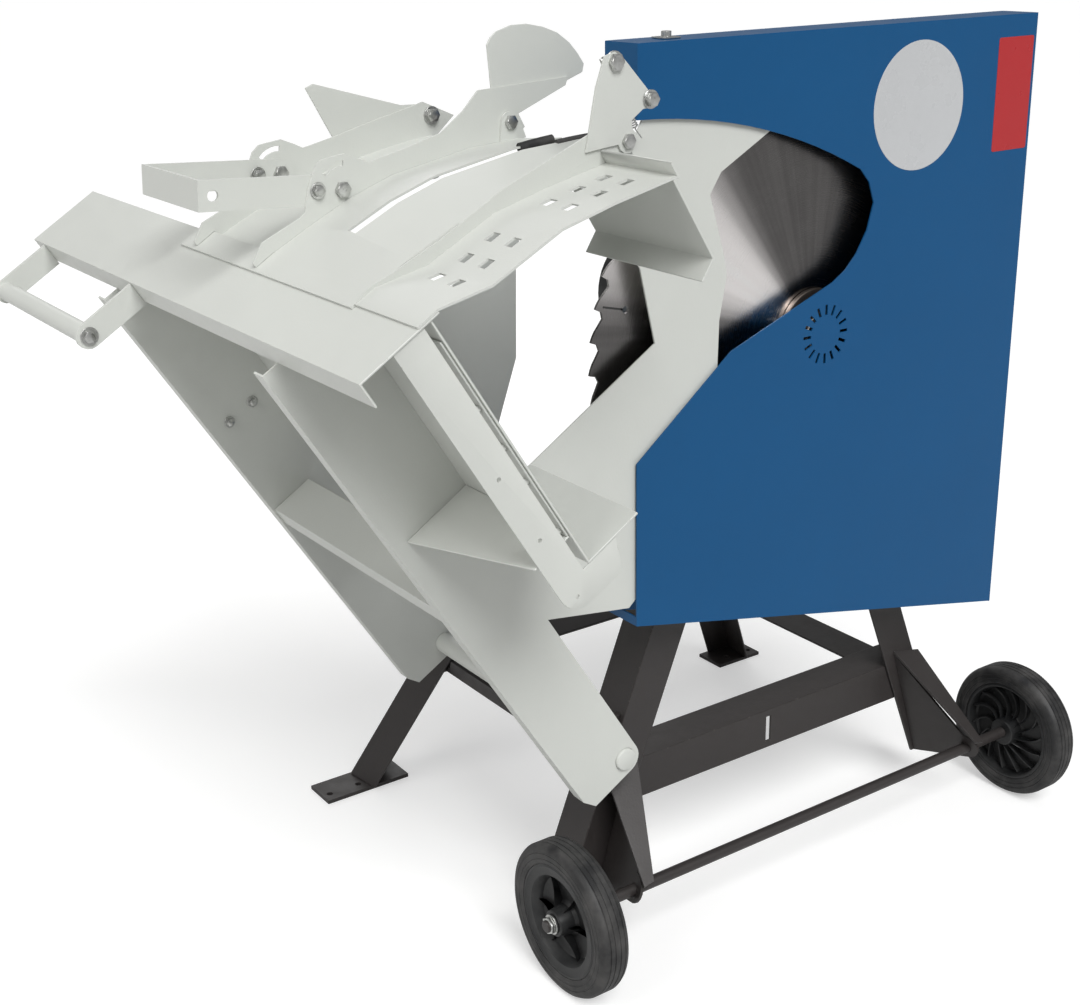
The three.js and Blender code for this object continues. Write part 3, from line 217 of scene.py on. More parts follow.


# ground steel of a round plate: rings from the grinding wheel about the hub, and painted reflections round it: bright
# fans, dark sectors and radial streaks
def makeGroundSteelAndPaintedFans(grain):
    tree, given, place = newSkin("groundSteelAndPaintedFans", [
        ("Steel", "NodeSocketColor", (0.6, 0.6, 0.6, 1)),
        ("Centre", "NodeSocketVector", (0, 0, 0)),
        ("Ring scale", "NodeSocketFloat", 900.0),
        ("Painted fan strength", "NodeSocketFloat", 0.3),
        ("Painted fan cosine", "NodeSocketFloat", 1.0),
        ("Painted fan sine", "NodeSocketFloat", 0.0),
        ("Gloss", "NodeSocketFloat", 0.2),
    ])
    fromHub = node(tree, "ShaderNodeVectorMath", {0: place, 1: given["Centre"]}, operation="SUBTRACT").outputs[0]
    x, _, z = node(tree, "ShaderNodeSeparateXYZ", {0: fromHub}).outputs
    radius = maths(tree, "SQRT", plus(tree, times(tree, x, x), times(tree, z, z)))
    turns = times(tree, radius, given["Ring scale"])
    rings = node(tree, "ShaderNodeTexNoise", {"W": turns, **grain["rings"]}, noise_dimensions="1D").outputs["Fac"]
    # painted reflections: two opposite bright fans with dark sectors between them and finer radial streaks, set by
    # the direction from the hub
    unit = node(tree, "ShaderNodeVectorMath", {0: fromHub}, operation="NORMALIZE").outputs[0]
    x, _, z = node(tree, "ShaderNodeSeparateXYZ", {0: unit}).outputs
    squares = minus(tree, times(tree, x, x), times(tree, z, z))
    product = times(tree, times(tree, x, z), 2.0)
    paintedFan = plus(tree, times(tree, squares, given["Painted fan cosine"]), times(tree, product, given["Painted fan sine"]))
    paintedFan = plus(tree, paintedFan, swing(tree, noise(tree, unit, *grain["paintedFanNoise"]), grain["paintedFanShare"]))
    paintedSectors = spread(tree, paintedFan, *grain["paintedFanBand"], interpolation_type="SMOOTHSTEP")
    paintedFineSectors = noise(tree, unit, *grain["paintedFineFans"])
    stains = noise(tree, place, *grain["stains"])
    tone = swing(tree, paintedSectors, given["Painted fan strength"], grain["paintedFanMiddle"])
    for part, share in ((paintedFineSectors, "paintedFineFanTone"), (rings, "ringTone"), (stains, "stainTone")):
        tone = plus(tree, tone, swing(tree, part, grain[share]))
    rough = plus(tree, given["Gloss"], swing(tree, rings, grain["ringGloss"]))
    return finishSkin(
        tree, Color=shaded(tree, given["Steel"], plus(tree, tone, 1.0)),
        Roughness=plus(tree, rough, swing(tree, stains, grain["stainGloss"], grain["stainMiddle"])), Height=rings)


zincGrain = {
    "clouds": (4.0, 0.6), "cloudBand": (0.3, 0.7), "cloudTone": (0.82, 1.08), "cloudGloss": 0.16,
    "markStretch": (60, 1800, 300), "markTurn": (0.7, 0.2, 0.5), "markTone": 0.12, "markDepth": 0.5,
}


# zinc plating: spangled clouds and tool marks
def makeZincSkin(grain):
    tree, given, place = newSkin("zincSkin", [
        ("Metal", "NodeSocketColor", (0.6, 0.6, 0.6, 1)),
        ("Grain", "NodeSocketFloat", 260.0),
        ("Gloss", "NodeSocketFloat", 0.28),
    ])
    clouds = noise(tree, place, given["Grain"], *grain["clouds"])
    marks = streaks(tree, place, grain["markStretch"], grain["markTurn"])
    cloudTone = spread(tree, clouds, *grain["cloudBand"], *grain["cloudTone"])
    tone = plus(tree, cloudTone, swing(tree, marks, grain["markTone"]))
    return finishSkin(
        tree, Color=shaded(tree, given["Metal"], tone),
        Roughness=plus(tree, given["Gloss"], times(tree, clouds, grain["cloudGloss"])),
        Height=plus(tree, clouds, times(tree, marks, grain["markDepth"])))


mouldedGrain = {
    "grain": (3.0, 0.6), "bloom": (24.0, 6.0, 0.62), "dustBand": (0.42, 0.70), "glossBand": (0.3, 0.7),
    "scuffStretch": (400, 25, 60), "scuffBand": (0.66, 0.72), "scuffGloss": 0.08, "scuffDepth": 0.4,
}


# rubber and plastic: moulded grain, bloom and dust that settles in the grain
def makeMouldedSkin(values):
    tree, given, place = newSkin("mouldedSkin", [
        ("Base", "NodeSocketColor", (0.02, 0.02, 0.02, 1)),
        ("Dust", "NodeSocketColor", (0.2, 0.19, 0.17, 1)),
        ("Grain", "NodeSocketFloat", 1100.0),
        ("Dust share", "NodeSocketFloat", 0.1),
        ("Gloss low", "NodeSocketFloat", 0.5),
        ("Gloss high", "NodeSocketFloat", 0.65),
    ])
    grain = noise(tree, place, given["Grain"], *values["grain"])
    bloom = noise(tree, place, *values["bloom"])
    scuffs = spread(tree, streaks(tree, place, values["scuffStretch"]), *values["scuffBand"])
    dusted = times(tree, spread(tree, bloom, *values["dustBand"]), given["Dust share"])
    gloss = spread(tree, bloom, *values["glossBand"], given["Gloss low"], given["Gloss high"])
    return finishSkin(
        tree, Color=mixColours(tree, dusted, given["Base"], given["Dust"]),
        Roughness=plus(tree, gloss, times(tree, scuffs, values["scuffGloss"])),
        Height=minus(tree, grain, times(tree, scuffs, values["scuffDepth"])))


skins = {
    "paintSkin": makePaintSkin(paintGrain), "groundSteelAndPaintedFans": makeGroundSteelAndPaintedFans(groundAndPaintedFanGrain),
    "zincSkin": makeZincSkin(zincGrain), "mouldedSkin": makeMouldedSkin(mouldedGrain),
}


# a skin's values, the strength and distance of its relief, and the shader's own constants
def newMaterial(name, skin, values, bump, shader):
    made = bpy.data.materials.new(name)
    made.use_nodes = True
    tree = made.node_tree
    principled = setInputs(tree, tree.nodes["Principled BSDF"], shader)
    layer = tree.nodes.new("ShaderNodeGroup")
    layer.node_tree = skins[skin]
    setInputs(tree, layer, values)
    strength, distance = bump
    relief = node(tree, "ShaderNodeBump", {
        "Height": layer.outputs["Height"], "Strength": strength, "Distance": distance})
    tree.links.new(layer.outputs["Color"], principled.inputs["Base Color"])
    tree.links.new(layer.outputs["Roughness"], principled.inputs["Roughness"])
    tree.links.new(relief.outputs["Normal"], principled.inputs["Normal"])
    made.diffuse_color = values.get("Paint", values.get("Base", values.get("Metal", (0.6, 0.6, 0.6, 1))))
    return made


# the painted reflections of the ground steel, bright fans and dark sectors, lie along this turn, in degrees from the
# back of the saw
paintedFanTurn = math.radians(2 * 145)
groundAndPaintedFanValues = {
    "Centre": tuple(at(0, 0, drawing["hubHeight"])), "Ring scale": 1500.0,
    "Painted fan cosine": math.cos(paintedFanTurn), "Painted fan sine": math.sin(paintedFanTurn),
}
finishes = {
    "blue_paint": newMaterial(
        "bluePaint", "paintSkin",
        {"Paint": (0.005, 0.077, 0.207, 1), "Under": (0.16, 0.17, 0.18, 1), "Peel scale": 520, "Peel depth": 0.8,
         "Cloud": 0.10, "Wear": 0.55, "Gloss low": 0.30, "Gloss high": 0.38},
        (0.10, 0.0006), {"Specular IOR Level": 0.2, "Coat Weight": 0.02, "Coat Roughness": 0.16}),
    "white_paint": newMaterial(
        "greyWhitePaint", "paintSkin",
        {"Paint": (0.585, 0.60, 0.567, 1), "Under": (0.22, 0.21, 0.19, 1), "Peel scale": 430, "Peel depth": 1.0,
         "Cloud": 0.07, "Wear": 0.5, "Gloss low": 0.34, "Gloss high": 0.46},
        (0.12, 0.0008), {"Specular IOR Level": 0.45, "Coat Weight": 0.06, "Coat Roughness": 0.2}),
    "black_paint": newMaterial(
        "blackPaint", "paintSkin",
        {"Paint": (0.030, 0.026, 0.025, 1), "Under": (0.11, 0.10, 0.09, 1), "Peel scale": 380, "Peel depth": 1.0,
         "Cloud": 0.30, "Wear": 0.6, "Gloss low": 0.36, "Gloss high": 0.52},
        (0.16, 0.0009), {"Specular IOR Level": 0.5, "Coat Weight": 0.04, "Coat Roughness": 0.25}),
    "grey_paint": newMaterial(
        "motorGreyPaint", "paintSkin",
        {"Paint": (0.105, 0.12, 0.14, 1), "Under": (0.3, 0.3, 0.29, 1), "Peel scale": 260, "Peel depth": 1.4,
         "Cloud": 0.22, "Wear": 0.4, "Gloss low": 0.38, "Gloss high": 0.55},
        (0.3, 0.0012), {"Specular IOR Level": 0.45}),
    "red_patch": newMaterial(
        "redPatch", "paintSkin",
        {"Paint": (0.42, 0.018, 0.022, 1), "Under": (0.3, 0.3, 0.3, 1), "Peel scale": 700, "Peel depth": 0.4,
         "Cloud": 0.08, "Wear": 0.1, "Gloss low": 0.26, "Gloss high": 0.34},
        (0.06, 0.0005), {"Specular IOR Level": 0.45}),
    "pale_patch": newMaterial(
        "palePatch", "paintSkin",
        {"Paint": (0.50, 0.51, 0.52, 1), "Under": (0.3, 0.3, 0.3, 1), "Peel scale": 700, "Peel depth": 0.4,
         "Cloud": 0.12, "Wear": 0.1, "Gloss low": 0.24, "Gloss high": 0.34},
        (0.06, 0.0005), {"Specular IOR Level": 0.5, "Coat Weight": 0.2, "Coat Roughness": 0.12}),
    # the fan strength of the blade and the flange sets how strong their painted reflections are, bright fans and dark
    # sectors
    "steel": newMaterial(
        "groundBladeSteel", "groundSteelAndPaintedFans",
        {**groundAndPaintedFanValues, "Steel": (0.66, 0.635, 0.628, 1), "Painted fan strength": 1.3, "Gloss": 0.24},
        (0.12, 0.0002), {"Metallic": 1.0, "Anisotropic": 0.82}),
    "flange_steel": newMaterial(
        "darkFlangeSteel", "groundSteelAndPaintedFans",
        {**groundAndPaintedFanValues, "Steel": (0.20, 0.17, 0.15, 1), "Painted fan strength": 0.4, "Gloss": 0.42},
        (0.12, 0.0002), {"Metallic": 1.0}),
    "zinc": newMaterial(
        "zincPlate", "zincSkin", {"Metal": (0.58, 0.585, 0.57, 1), "Grain": 240.0, "Gloss": 0.22},
        (0.12, 0.0003), {"Metallic": 1.0}),
    "tyre": newMaterial(
        "tyreRubber", "mouldedSkin",
        {"Base": (0.016, 0.016, 0.0165, 1), "Dust": (0.14, 0.135, 0.13, 1), "Grain": 900.0, "Dust share": 0.4,
         "Gloss low": 0.46, "Gloss high": 0.62},
        (0.22, 0.0006), {"Specular IOR Level": 0.42}),
    "black_plastic": newMaterial(
        "blackPlastic", "mouldedSkin",
        {"Base": (0.011, 0.0115, 0.012, 1), "Dust": (0.10, 0.10, 0.10, 1), "Grain": 1300.0, "Dust share": 0.2,
         "Gloss low": 0.36, "Gloss high": 0.50},
        (0.16, 0.0004), {"Specular IOR Level": 0.45}),
    "green_plastic": newMaterial(
        "greenPlastic", "mouldedSkin",
        {"Base": (0.02, 0.24, 0.05, 1), "Dust": (0.2, 0.3, 0.2, 1), "Grain": 1500.0, "Dust share": 0.1,
         "Gloss low": 0.26, "Gloss high": 0.36},
        (0.08, 0.0003), {"Specular IOR Level": 0.5}),
    "red_plastic": newMaterial(
        "redPlastic", "mouldedSkin",
        {"Base": (0.44, 0.015, 0.012, 1), "Dust": (0.4, 0.2, 0.18, 1), "Grain": 1500.0, "Dust share": 0.1,
         "Gloss low": 0.26, "Gloss high": 0.36},
        (0.08, 0.0003), {"Specular IOR Level": 0.5}),
}
for name, part in frame["nodes"].items():
    part.data.materials.clear()
    part.data.materials.append(finishes[slotOfNode[name]])
print("finishes made")

# how near points are joined, in metres, and angles in degrees
meshValues = {
    "join": 1e-6, "sourceJoin": 2e-5, "sliverJoin": 5e-6, "sourceFlat": 0.6, "foldAngle": 28, "sharp": 32,
    "sheetSharp": 40,
}


def settle(mesh, name, body, finish, standsFor=(), sharp=meshValues["sharp"], weighted=False):
    bmesh.ops.remove_doubles(mesh, verts=mesh.verts, dist=meshValues["join"])
    data = bpy.data.meshes.new(name)
    mesh.to_mesh(data)
    mesh.free()
    for face in data.polygons:
        face.use_smooth = True
    data.set_sharp_from_angle(angle=math.radians(sharp))
    data.materials.append(finishes[finish])
    piece = bpy.data.objects.new(name, data)
    bpy.context.scene.collection.objects.link(piece)
    if weighted:
        normals = piece.modifiers.new("flatFaces", "WEIGHTED_NORMAL")
        normals.keep_sharp = True
    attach(piece, body)
    if standsFor:
        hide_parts(*standsFor)
    return piece


def easeEdges(mesh, edges, width, segments=2):
    return bmesh.ops.bevel(
        mesh, geom=edges, offset=width / 1000, offset_type="OFFSET", segments=segments, profile=0.5,
        affect="EDGES", clamp_overlap=True, material=-1)


# a copy of a sheet-metal node with its edges rounded over; the paint wears along them
def rounded(nodeName, width, segments=2):
    mesh = bmesh.new()
    mesh.from_mesh(frame["nodes"][nodeName].data)
    bmesh.ops.remove_doubles(mesh, verts=mesh.verts, dist=meshValues["sourceJoin"])
    flat = math.radians(meshValues["sourceFlat"])
    bmesh.ops.dissolve_limit(mesh, angle_limit=flat, verts=mesh.verts, edges=mesh.edges)
    fold = math.radians(meshValues["foldAngle"])
    edges = [e for e in mesh.edges if e.is_manifold and e.calc_face_angle(0) > fold]
    share = mesh.faces.layers.float.new("edgeShare")
    for face in easeEdges(mesh, edges, width, segments)["faces"]:
        face[share] = 1.0
    bmesh.ops.remove_doubles(mesh, verts=mesh.verts, dist=meshValues["sliverJoin"])
    return settle(
        mesh, nodeName + "_rounded", bodyOfNode[nodeName], slotOfNode[nodeName], (nodeName,),
        meshValues["sheetSharp"], True)


# a profile of (along, radius) points turned about +X; a closed one is a ring
def turned(profile, steps=72, ring=False):
    mesh = bmesh.new()
    points = [mesh.verts.new((along / 1000, 0, radius / 1000)) for along, radius in profile]
    ends = points[1:] + points[:1] if ring else points[1:]
    edges = [mesh.edges.new(pair) for pair in zip(points, ends)]
    bmesh.ops.spin(
        mesh, geom=points + edges, cent=(0, 0, 0), axis=(1, 0, 0), dvec=(0, 0, 0), angle=math.tau, steps=steps,
        use_merge=True, use_duplicate=False,
    )
    bmesh.ops.remove_doubles(mesh, verts=mesh.verts, dist=meshValues["join"])
    bmesh.ops.recalc_face_normals(mesh, faces=mesh.faces)
    return mesh


# a hexagon along +X with its edges eased
def hexHead(radius, height, start):
    mesh = bmesh.new()
    bmesh.ops.create_cone(
        mesh, cap_ends=True, segments=6, radius1=radius / 1000, radius2=radius / 1000, depth=height / 1000)
    bmesh.ops.rotate(mesh, verts=mesh.verts, cent=(0, 0, 0), matrix=Matrix.Rotation(math.pi / 2, 3, "Y"))
    bmesh.ops.translate(mesh, verts=mesh.verts, vec=((start + height / 2) / 1000, 0, 0))
    easeEdges(mesh, mesh.edges[:], radius * 0.06)
    return mesh


def merged(meshes):
    whole = bmesh.new()
    for mesh in meshes:
        data = bpy.data.meshes.new("piecePart")
        mesh.to_mesh(data)
        mesh.free()
        whole.from_mesh(data)
        bpy.data.meshes.remove(data)
    return whole


# turns what was made along +X so that it points along a direction, and moves it to a place
def aim(mesh, place, direction):
    turn = Vector((1, 0, 0)).rotation_difference(Vector(direction)).to_matrix()
    bmesh.ops.rotate(mesh, verts=mesh.verts, cent=(0, 0, 0), matrix=turn)
    bmesh.ops.translate(mesh, verts=mesh.verts, vec=place)
    return mesh


boltValues = {"washerTop": 1.6, "pitch": 1.6, "crest": 0.3, "root": 0.65, "rootRadius": 0.88, "tipRadius": 0.8}


# a bolt along +X: washer from zero, hexagon with a turned crown, and a threaded shank behind zero
def boltMesh(head, height, washer=0.0, shank=0.0, radius=4.0):
    start = boltValues["washerTop"] if washer else 0
    top = start + height
    crown = [
        (top + 1.3, 0), (top + 1.3, head * 0.5), (top + 0.7, head * 0.76), (top + 0.05, head * 0.8), (top + 0.05, 0),
    ]
    parts = [hexHead(head, height, start), turned(crown, 24)]
    if washer:
        parts.append(turned(
            [(start, 0), (start, washer - 0.4), (1.2, washer), (0.2, washer), (0, washer - 0.3), (0, 0)], 32))
    if shank:
        thread = [(0.1, 0), (0.1, radius)]
        steps = max(2, int(shank / boltValues["pitch"]))
        for i in range(steps):
            along = -i * shank / steps
            thread += [
                (along - boltValues["crest"] * shank / steps, radius),
                (along - boltValues["root"] * shank / steps, radius * boltValues["rootRadius"]),
            ]
        thread += [(-shank, radius * boltValues["tipRadius"]), (-shank, 0)]
        parts.append(turned(thread, 20))
    return merged(parts)


# the head of a screw or rivet along +X
def domeMesh(radius, height):
    profile = [(0, 0), (0, radius), (height * 0.45, radius * 0.92), (height * 0.85, radius * 0.6), (height, 0)]
    return turned(profile, 24)


# round bar along points, mitred at each of them
def barMesh(points, radius, sides=20):
    mesh = bmesh.new()
    loops = []
    for i, point in enumerate(points):
        before = (point - points[i - 1]).normalized() if i else None
        after = (points[i + 1] - point).normalized() if i + 1 < len(points) else None
        along = ((before or after) + (after or before)).normalized()
        turn = along.to_track_quat("Z", "Y").to_matrix().to_4x4()
        made = bmesh.ops.create_circle(
            mesh, cap_ends=i in (0, len(points) - 1), segments=sides, radius=radius / 1000,
            matrix=Matrix.Translation(point) @ turn)
        loops.append([e for e in mesh.edges if e.verts[0] in made["verts"] and e.verts[1] in made["verts"]])
    for first, second in zip(loops, loops[1:]):
        bmesh.ops.bridge_loops(mesh, edges=first + second)
    bmesh.ops.recalc_face_normals(mesh, faces=mesh.faces)
    return mesh


edgeRadius = {
    "housing_cover": 1.1, "housing_back": 1.1, "near_left_leg": 1.6, "near_right_leg": 1.6, "far_left_leg": 1.6,
    "far_right_leg": 1.6, "near_rail": 1.6, "far_rail": 1.6, "left_side_rail": 1.2, "right_side_rail": 1.2,
    "left_foot_plate": 1.0, "right_foot_plate": 1.0, "left_axle_bracket": 1.0, "right_axle_bracket": 1.0,
    "motor_plate": 1.2, "near_pivot_lug": 1.2, "far_pivot_lug": 1.2, "near_rocker_plate": 0.8,
    "far_rocker_plate": 0.8, "shelf": 0.8, "near_trough": 0.8, "far_trough": 0.8, "trough_end_frame": 0.8,
    "rocker_gusset": 0.8, "cross_plate": 0.8, "wall_stiffener": 0.8, "slot_strip": 0.7, "near_guard": 0.8,
    "guard_flap": 0.8, "guard_lever": 0.8, "hood_near_side": 0.8, "hood_far_side": 0.8, "lift_frame": 1.2,
    "fan_plate": 0.8, "wing_plate": 0.8, "switch_box": 2.0, "motor_body": 0.8, "fan_cowl": 0.6,
}
sheets = {name: rounded(name, width) for name, width in edgeRadius.items()}
print("sheet metal rounded")

wheelValues = {
    "centre": -15, "halfTrack": 416, "y": -60, "z": 105, "radius": 100.8, "halfWidth": 20.8, "seat": 75.2,
    "grooves": (11.0, 4.0), "grooveDepth": 0.9, "ribs": 14, "ribSag": 6.0, "ribSweep": 0.42, "ribThickness": 3.0,
    "cup": 58, "cupRibs": 6, "cupRibRise": 9.0, "cupRibSag": 2.0, "cupRibThickness": 4.2, "ribEase": 0.7,
    "hub": 21, "hubHalf": 25.6, "bore": 8.4,
}


def tyreMesh(values):
    outer, half, seat = values["radius"], values["halfWidth"], values["seat"]
    right = [
        (half - 1.5, seat), (half - 0.3, seat + 2.5), (half, seat + 6), (half - 0.6, seat + 7), (half, seat + 8),
        (half, seat + 13), (half - 0.7, seat + 14), (half - 0.1, seat + 15), (half - 1.2, outer - 6),
        (half - 3.6, outer - 2.6), (half - 7.0, outer - 0.7),
    ]
    for groove in values["grooves"]:
        low = outer - values["grooveDepth"]
        right += [(groove + 1.0, outer), (groove + 0.6, low), (groove - 0.6, low), (groove - 1.0, outer)]
    left = [(-along, radius) for along, radius in reversed(right)]
    return turned(right + left, 120, ring=True)


# ribs of a rim: the side they stand on, from where to where they reach, how far they rise at hub and at barrel
def ribMesh(count, side, reach, rise, sag, sweep, thickness, ease):
    rib = bmesh.new()
    bmesh.ops.create_grid(rib, x_segments=1, y_segments=8, size=0.5)
    for vertex in rib.verts:
        share = vertex.co.y + 0.5
        radius = reach[0] + share * (reach[1] - reach[0])
        turn = sweep * share ** 1.4
        top = rise[0] * (1 - share) + rise[1] * share - sag * math.sin(math.pi * share)
        along = 0.6 if vertex.co.x < 0 else top
        vertex.co = (side * along / 1000, radius * math.sin(turn) / 1000, radius * math.cos(turn) / 1000)
    bmesh.ops.solidify(rib, geom=rib.verts[:] + rib.edges[:] + rib.faces[:], thickness=thickness / 1000)
    bmesh.ops.recalc_face_normals(rib, faces=rib.faces)
    easeEdges(rib, [e for e in rib.edges if e.calc_face_angle(0) > 1.0], ease)
    bmesh.ops.spin(
        rib, geom=rib.verts[:] + rib.edges[:] + rib.faces[:], cent=(0, 0, 0), axis=(1, 0, 0), dvec=(0, 0, 0),
        angle=math.tau * (count - 1) / count, steps=count - 1, use_duplicate=True, use_merge=False)
    return rib


# a rim, +X outwards: a deep cup outside, and inside a thin disc with swept ribs between hub and barrel
def rimMesh(values):
    half, seat, cup, hub, hubHalf, bore = (
        values[k] for k in ("halfWidth", "seat", "cup", "hub", "hubHalf", "bore"))
    barrel = seat - 0.5
    profile = [
        (half - 1.2, barrel - 3), (half - 1.8, barrel), (-half + 1.8, barrel), (-half + 1.2, barrel - 3),
        (-half + 2.2, barrel - 5), (-half + 5, barrel - 6.5), (-5.5, barrel - 8), (-3.0, barrel - 11),
        (-3.0, hub + 6), (-6, hub + 1.5), (-hubHalf + 1, hub - 1), (-hubHalf, hub - 2.4), (-hubHalf, bore),
        (hubHalf, bore), (hubHalf, hub - 5.4), (hubHalf - 1, hub - 4), (6, hub - 1), (2.2, hub + 3),
        (1.8, cup - 11), (4.0, cup - 5), (half - 5.5, cup), (half - 3.4, cup + 2.2), (half - 2.6, barrel - 6),
    ]
    inside = ribMesh(
        values["ribs"], -1, (hub + 0.2, barrel - 7.2), (hubHalf - 5.5, half - 6.5),
        values["ribSag"], values["ribSweep"], values["ribThickness"], values["ribEase"])
    outside = ribMesh(
        values["cupRibs"], 1, (hub - 0.5, cup - 2.5), (hubHalf - 9, values["cupRibRise"]),
        values["cupRibSag"], 0.0, values["cupRibThickness"], values["ribEase"])
    return merged([turned(profile, 96, ring=True), inside, outside])


hubNutValues = {"washer": 13, "washerTop": 2.6, "head": 11.5, "height": 5.6, "stub": 6.6, "stubTop": 9.9}


def hubNutMesh(values):
    washer, washerTop, stub, stubTop = (values[k] for k in ("washer", "washerTop", "stub", "stubTop"))
    return merged([
        turned([
            (0.2, 0), (0.2, washer - 0.2), (0.6, washer), (washerTop - 0.4, washer), (washerTop, washer - 0.4),
            (washerTop, 0)], 40),
        hexHead(values["head"], values["height"], washerTop + 0.1),
        turned([
            (stubTop - 1.5, 0), (stubTop - 1.5, stub), (stubTop - 0.7, stub - 0.2), (stubTop, stub - 1.4),
            (stubTop, 0)], 32),
    ])


for side, outward in (("left", -1), ("right", 1)):
    centre = at(wheelValues["centre"] + outward * wheelValues["halfTrack"], wheelValues["y"], wheelValues["z"])
    settle(
        aim(tyreMesh(wheelValues), centre, (1, 0, 0)), side + "_moulded_tyre", side + "_wheel", "tyre",
        (side + "_tyre",), 28)
    settle(
        aim(rimMesh(wheelValues), centre, (outward, 0, 0)), side + "_ribbed_rim", side + "_wheel", "black_plastic",
        (side + "_rim",), 35)
    nutLow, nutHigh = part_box(side + "_hub_nut")
    start = nutLow.x if outward > 0 else nutHigh.x
    place = Vector((start, (nutLow.y + nutHigh.y) / 2, (nutLow.z + nutHigh.z) / 2))
    settle(
        aim(hubNutMesh(hubNutValues), place, (outward, 0, 0)), side + "_capped_nut", bodyOfNode[side + "_hub_nut"],
        "zinc", (side + "_hub_nut",), 30)
print("wheels made")

barValues = {"axleChamfer": 1.2, "axleSeat": 30}

axleLow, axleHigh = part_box("wheel_axle")
axleMiddle = (axleLow + axleHigh) / 2
axleHalf = (axleHigh.x - axleLow.x) * 500
axleRadius = (axleHigh.z - axleLow.z) * 500
chamfer = barValues["axleChamfer"]
axleProfile = [
    (axleHalf, 0), (axleHalf, axleRadius - chamfer), (axleHalf - chamfer, axleRadius),
    (axleHalf - barValues["axleSeat"], axleRadius),
]
axleProfile = [(-along, radius) for along, radius in axleProfile] + axleProfile[::-1]
settle(aim(turned(axleProfile, 40), axleMiddle, (1, 0, 0)), "round_axle", "base", "black_paint", ("wheel_axle",), 30)

shaftLow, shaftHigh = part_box("pivot_shaft")
shaftMiddle = (shaftLow + shaftHigh) / 2
shaftHalf = (shaftHigh.y - shaftLow.y) * 500
shaftRadius = (shaftHigh.z - shaftLow.z) * 500
shaftProfile = [
    (-shaftHalf, 0), (-shaftHalf, shaftRadius - 3), (-shaftHalf + 0.8, shaftRadius - 1),
    (-shaftHalf + 2.4, shaftRadius),
]
shaftProfile += [(-along, radius) for along, radius in reversed(shaftProfile)]
settle(
    aim(turned(shaftProfile, 48), shaftMiddle, (0, 1, 0)), "round_pivot_shaft", "rocker", "white_paint",
    ("pivot_shaft",), 30)

handleValues = {
    "edge": 1.2, "reach": 76, "height": 748, "nearY": 323, "farY": 627, "shelfFront": -56, "proud": 0.2,
    "head": 8, "headHeight": 4.4, "washer": 11,
}
rounded("rocker_handle", handleValues["edge"], 3)


def handleBolts(values):
    grip = values["shelfFront"] - values["reach"]
    ends = ((values["nearY"] - values["proud"], -1), (values["farY"] + values["proud"], 1))
    return merged([
        aim(boltMesh(values["head"], values["headHeight"], values["washer"]),
            onRocker(grip, y, values["height"]), (0, way, 0))
        for y, way in ends])


settle(handleBolts(handleValues), "handle_bolts", "rocker", "zinc", (), 30)
print("axle, pivot and handle made")

# each tooth is six rim points, with how deep each lies in the gullet and how far it leans
bladeValues = {
    "radius": 349.8, "teeth": 56, "gullet": 13, "depths": (0.0, 0.72, 1.0, 0.66, 0.34, 0.14),
    "leans": (0, -0.62, -0.42, -0.1, 0, 0), "rimWidth": 60, "core": 30, "halfThickness": 1.7,
    "slots": 8, "slotStart": 0.3, "slotInset": 10, "slotLength": 34, "slotWidth": 2.6, "slotHole": 4.5,
    "cutDepth": 20,
}


# a disc whose rim points are drawn in to the gullets
def bladeMesh(values):
    mesh = bmesh.new()
    steps = len(values["depths"])
    count = values["teeth"] * steps
    made = bmesh.ops.create_circle(mesh, cap_ends=False, segments=count, radius=values["radius"] / 1000)
    rim = sorted(made["verts"], key=lambda v: math.atan2(v.co.y, v.co.x) % math.tau)
    for i, vertex in enumerate(rim):
        lean = values["leans"][i % steps] * math.tau / count
        drawnIn = 1 - values["gullet"] * values["depths"][i % steps] / values["radius"]
        vertex.co = Matrix.Rotation(lean, 3, "Z") @ vertex.co * drawnIn
    outer = mesh.edges[:]
    for radius in (values["radius"] - values["rimWidth"], values["core"]):
        made = bmesh.ops.create_circle(mesh, cap_ends=False, segments=count, radius=radius / 1000)
        inner = [e for e in mesh.edges if e.verts[0] in made["verts"] and e.verts[1] in made["verts"]]
        bmesh.ops.bridge_loops(mesh, edges=outer + inner)
        outer = inner
    bmesh.ops.contextual_create(mesh, geom=outer)
    for face in mesh.faces:
        if face.normal.z < 0:
            face.normal_flip()
    lifted = bmesh.ops.extrude_face_region(mesh, geom=mesh.faces[:])
    raised = [v for v in lifted["geom"] if isinstance(v, bmesh.types.BMVert)]
    bmesh.ops.translate(mesh, verts=raised, vec=(0, 0, 2 * values["halfThickness"] / 1000))
    bmesh.ops.translate(mesh, verts=mesh.verts, vec=(0, 0, -values["halfThickness"] / 1000))
    bmesh.ops.recalc_face_normals(mesh, faces=mesh.faces)
    bmesh.ops.rotate(mesh, verts=mesh.verts, cent=(0, 0, 0), matrix=Matrix.Rotation(math.pi / 2, 3, "X"))
    return mesh


# the blade's expansion slots, each with a round hole at its inner end
def slotCutters(values):
    mesh = bmesh.new()
    width, deep, length, hole = (values[k] / 1000 for k in ("slotWidth", "cutDepth", "slotLength", "slotHole"))
    for i in range(values["slots"]):
        turn = Matrix.Rotation(math.tau * (i + values["slotStart"]) / values["slots"], 4, "Y")
        reach = (values["radius"] - values["slotInset"] - values["slotLength"] / 2) / 1000
        bmesh.ops.create_cube(
            mesh, size=1, matrix=turn @ Matrix.Translation((0, 0, reach)) @ Matrix.Diagonal((width, deep, length, 1)))
        innerEnd = Matrix.Translation((0, 0, reach - values["slotLength"] / 2000))
        bmesh.ops.create_cone(
            mesh, cap_ends=True, segments=16, radius1=hole, radius2=hole, depth=deep,
            matrix=turn @ innerEnd @ Matrix.Rotation(math.pi / 2, 4, "X"))
    return mesh


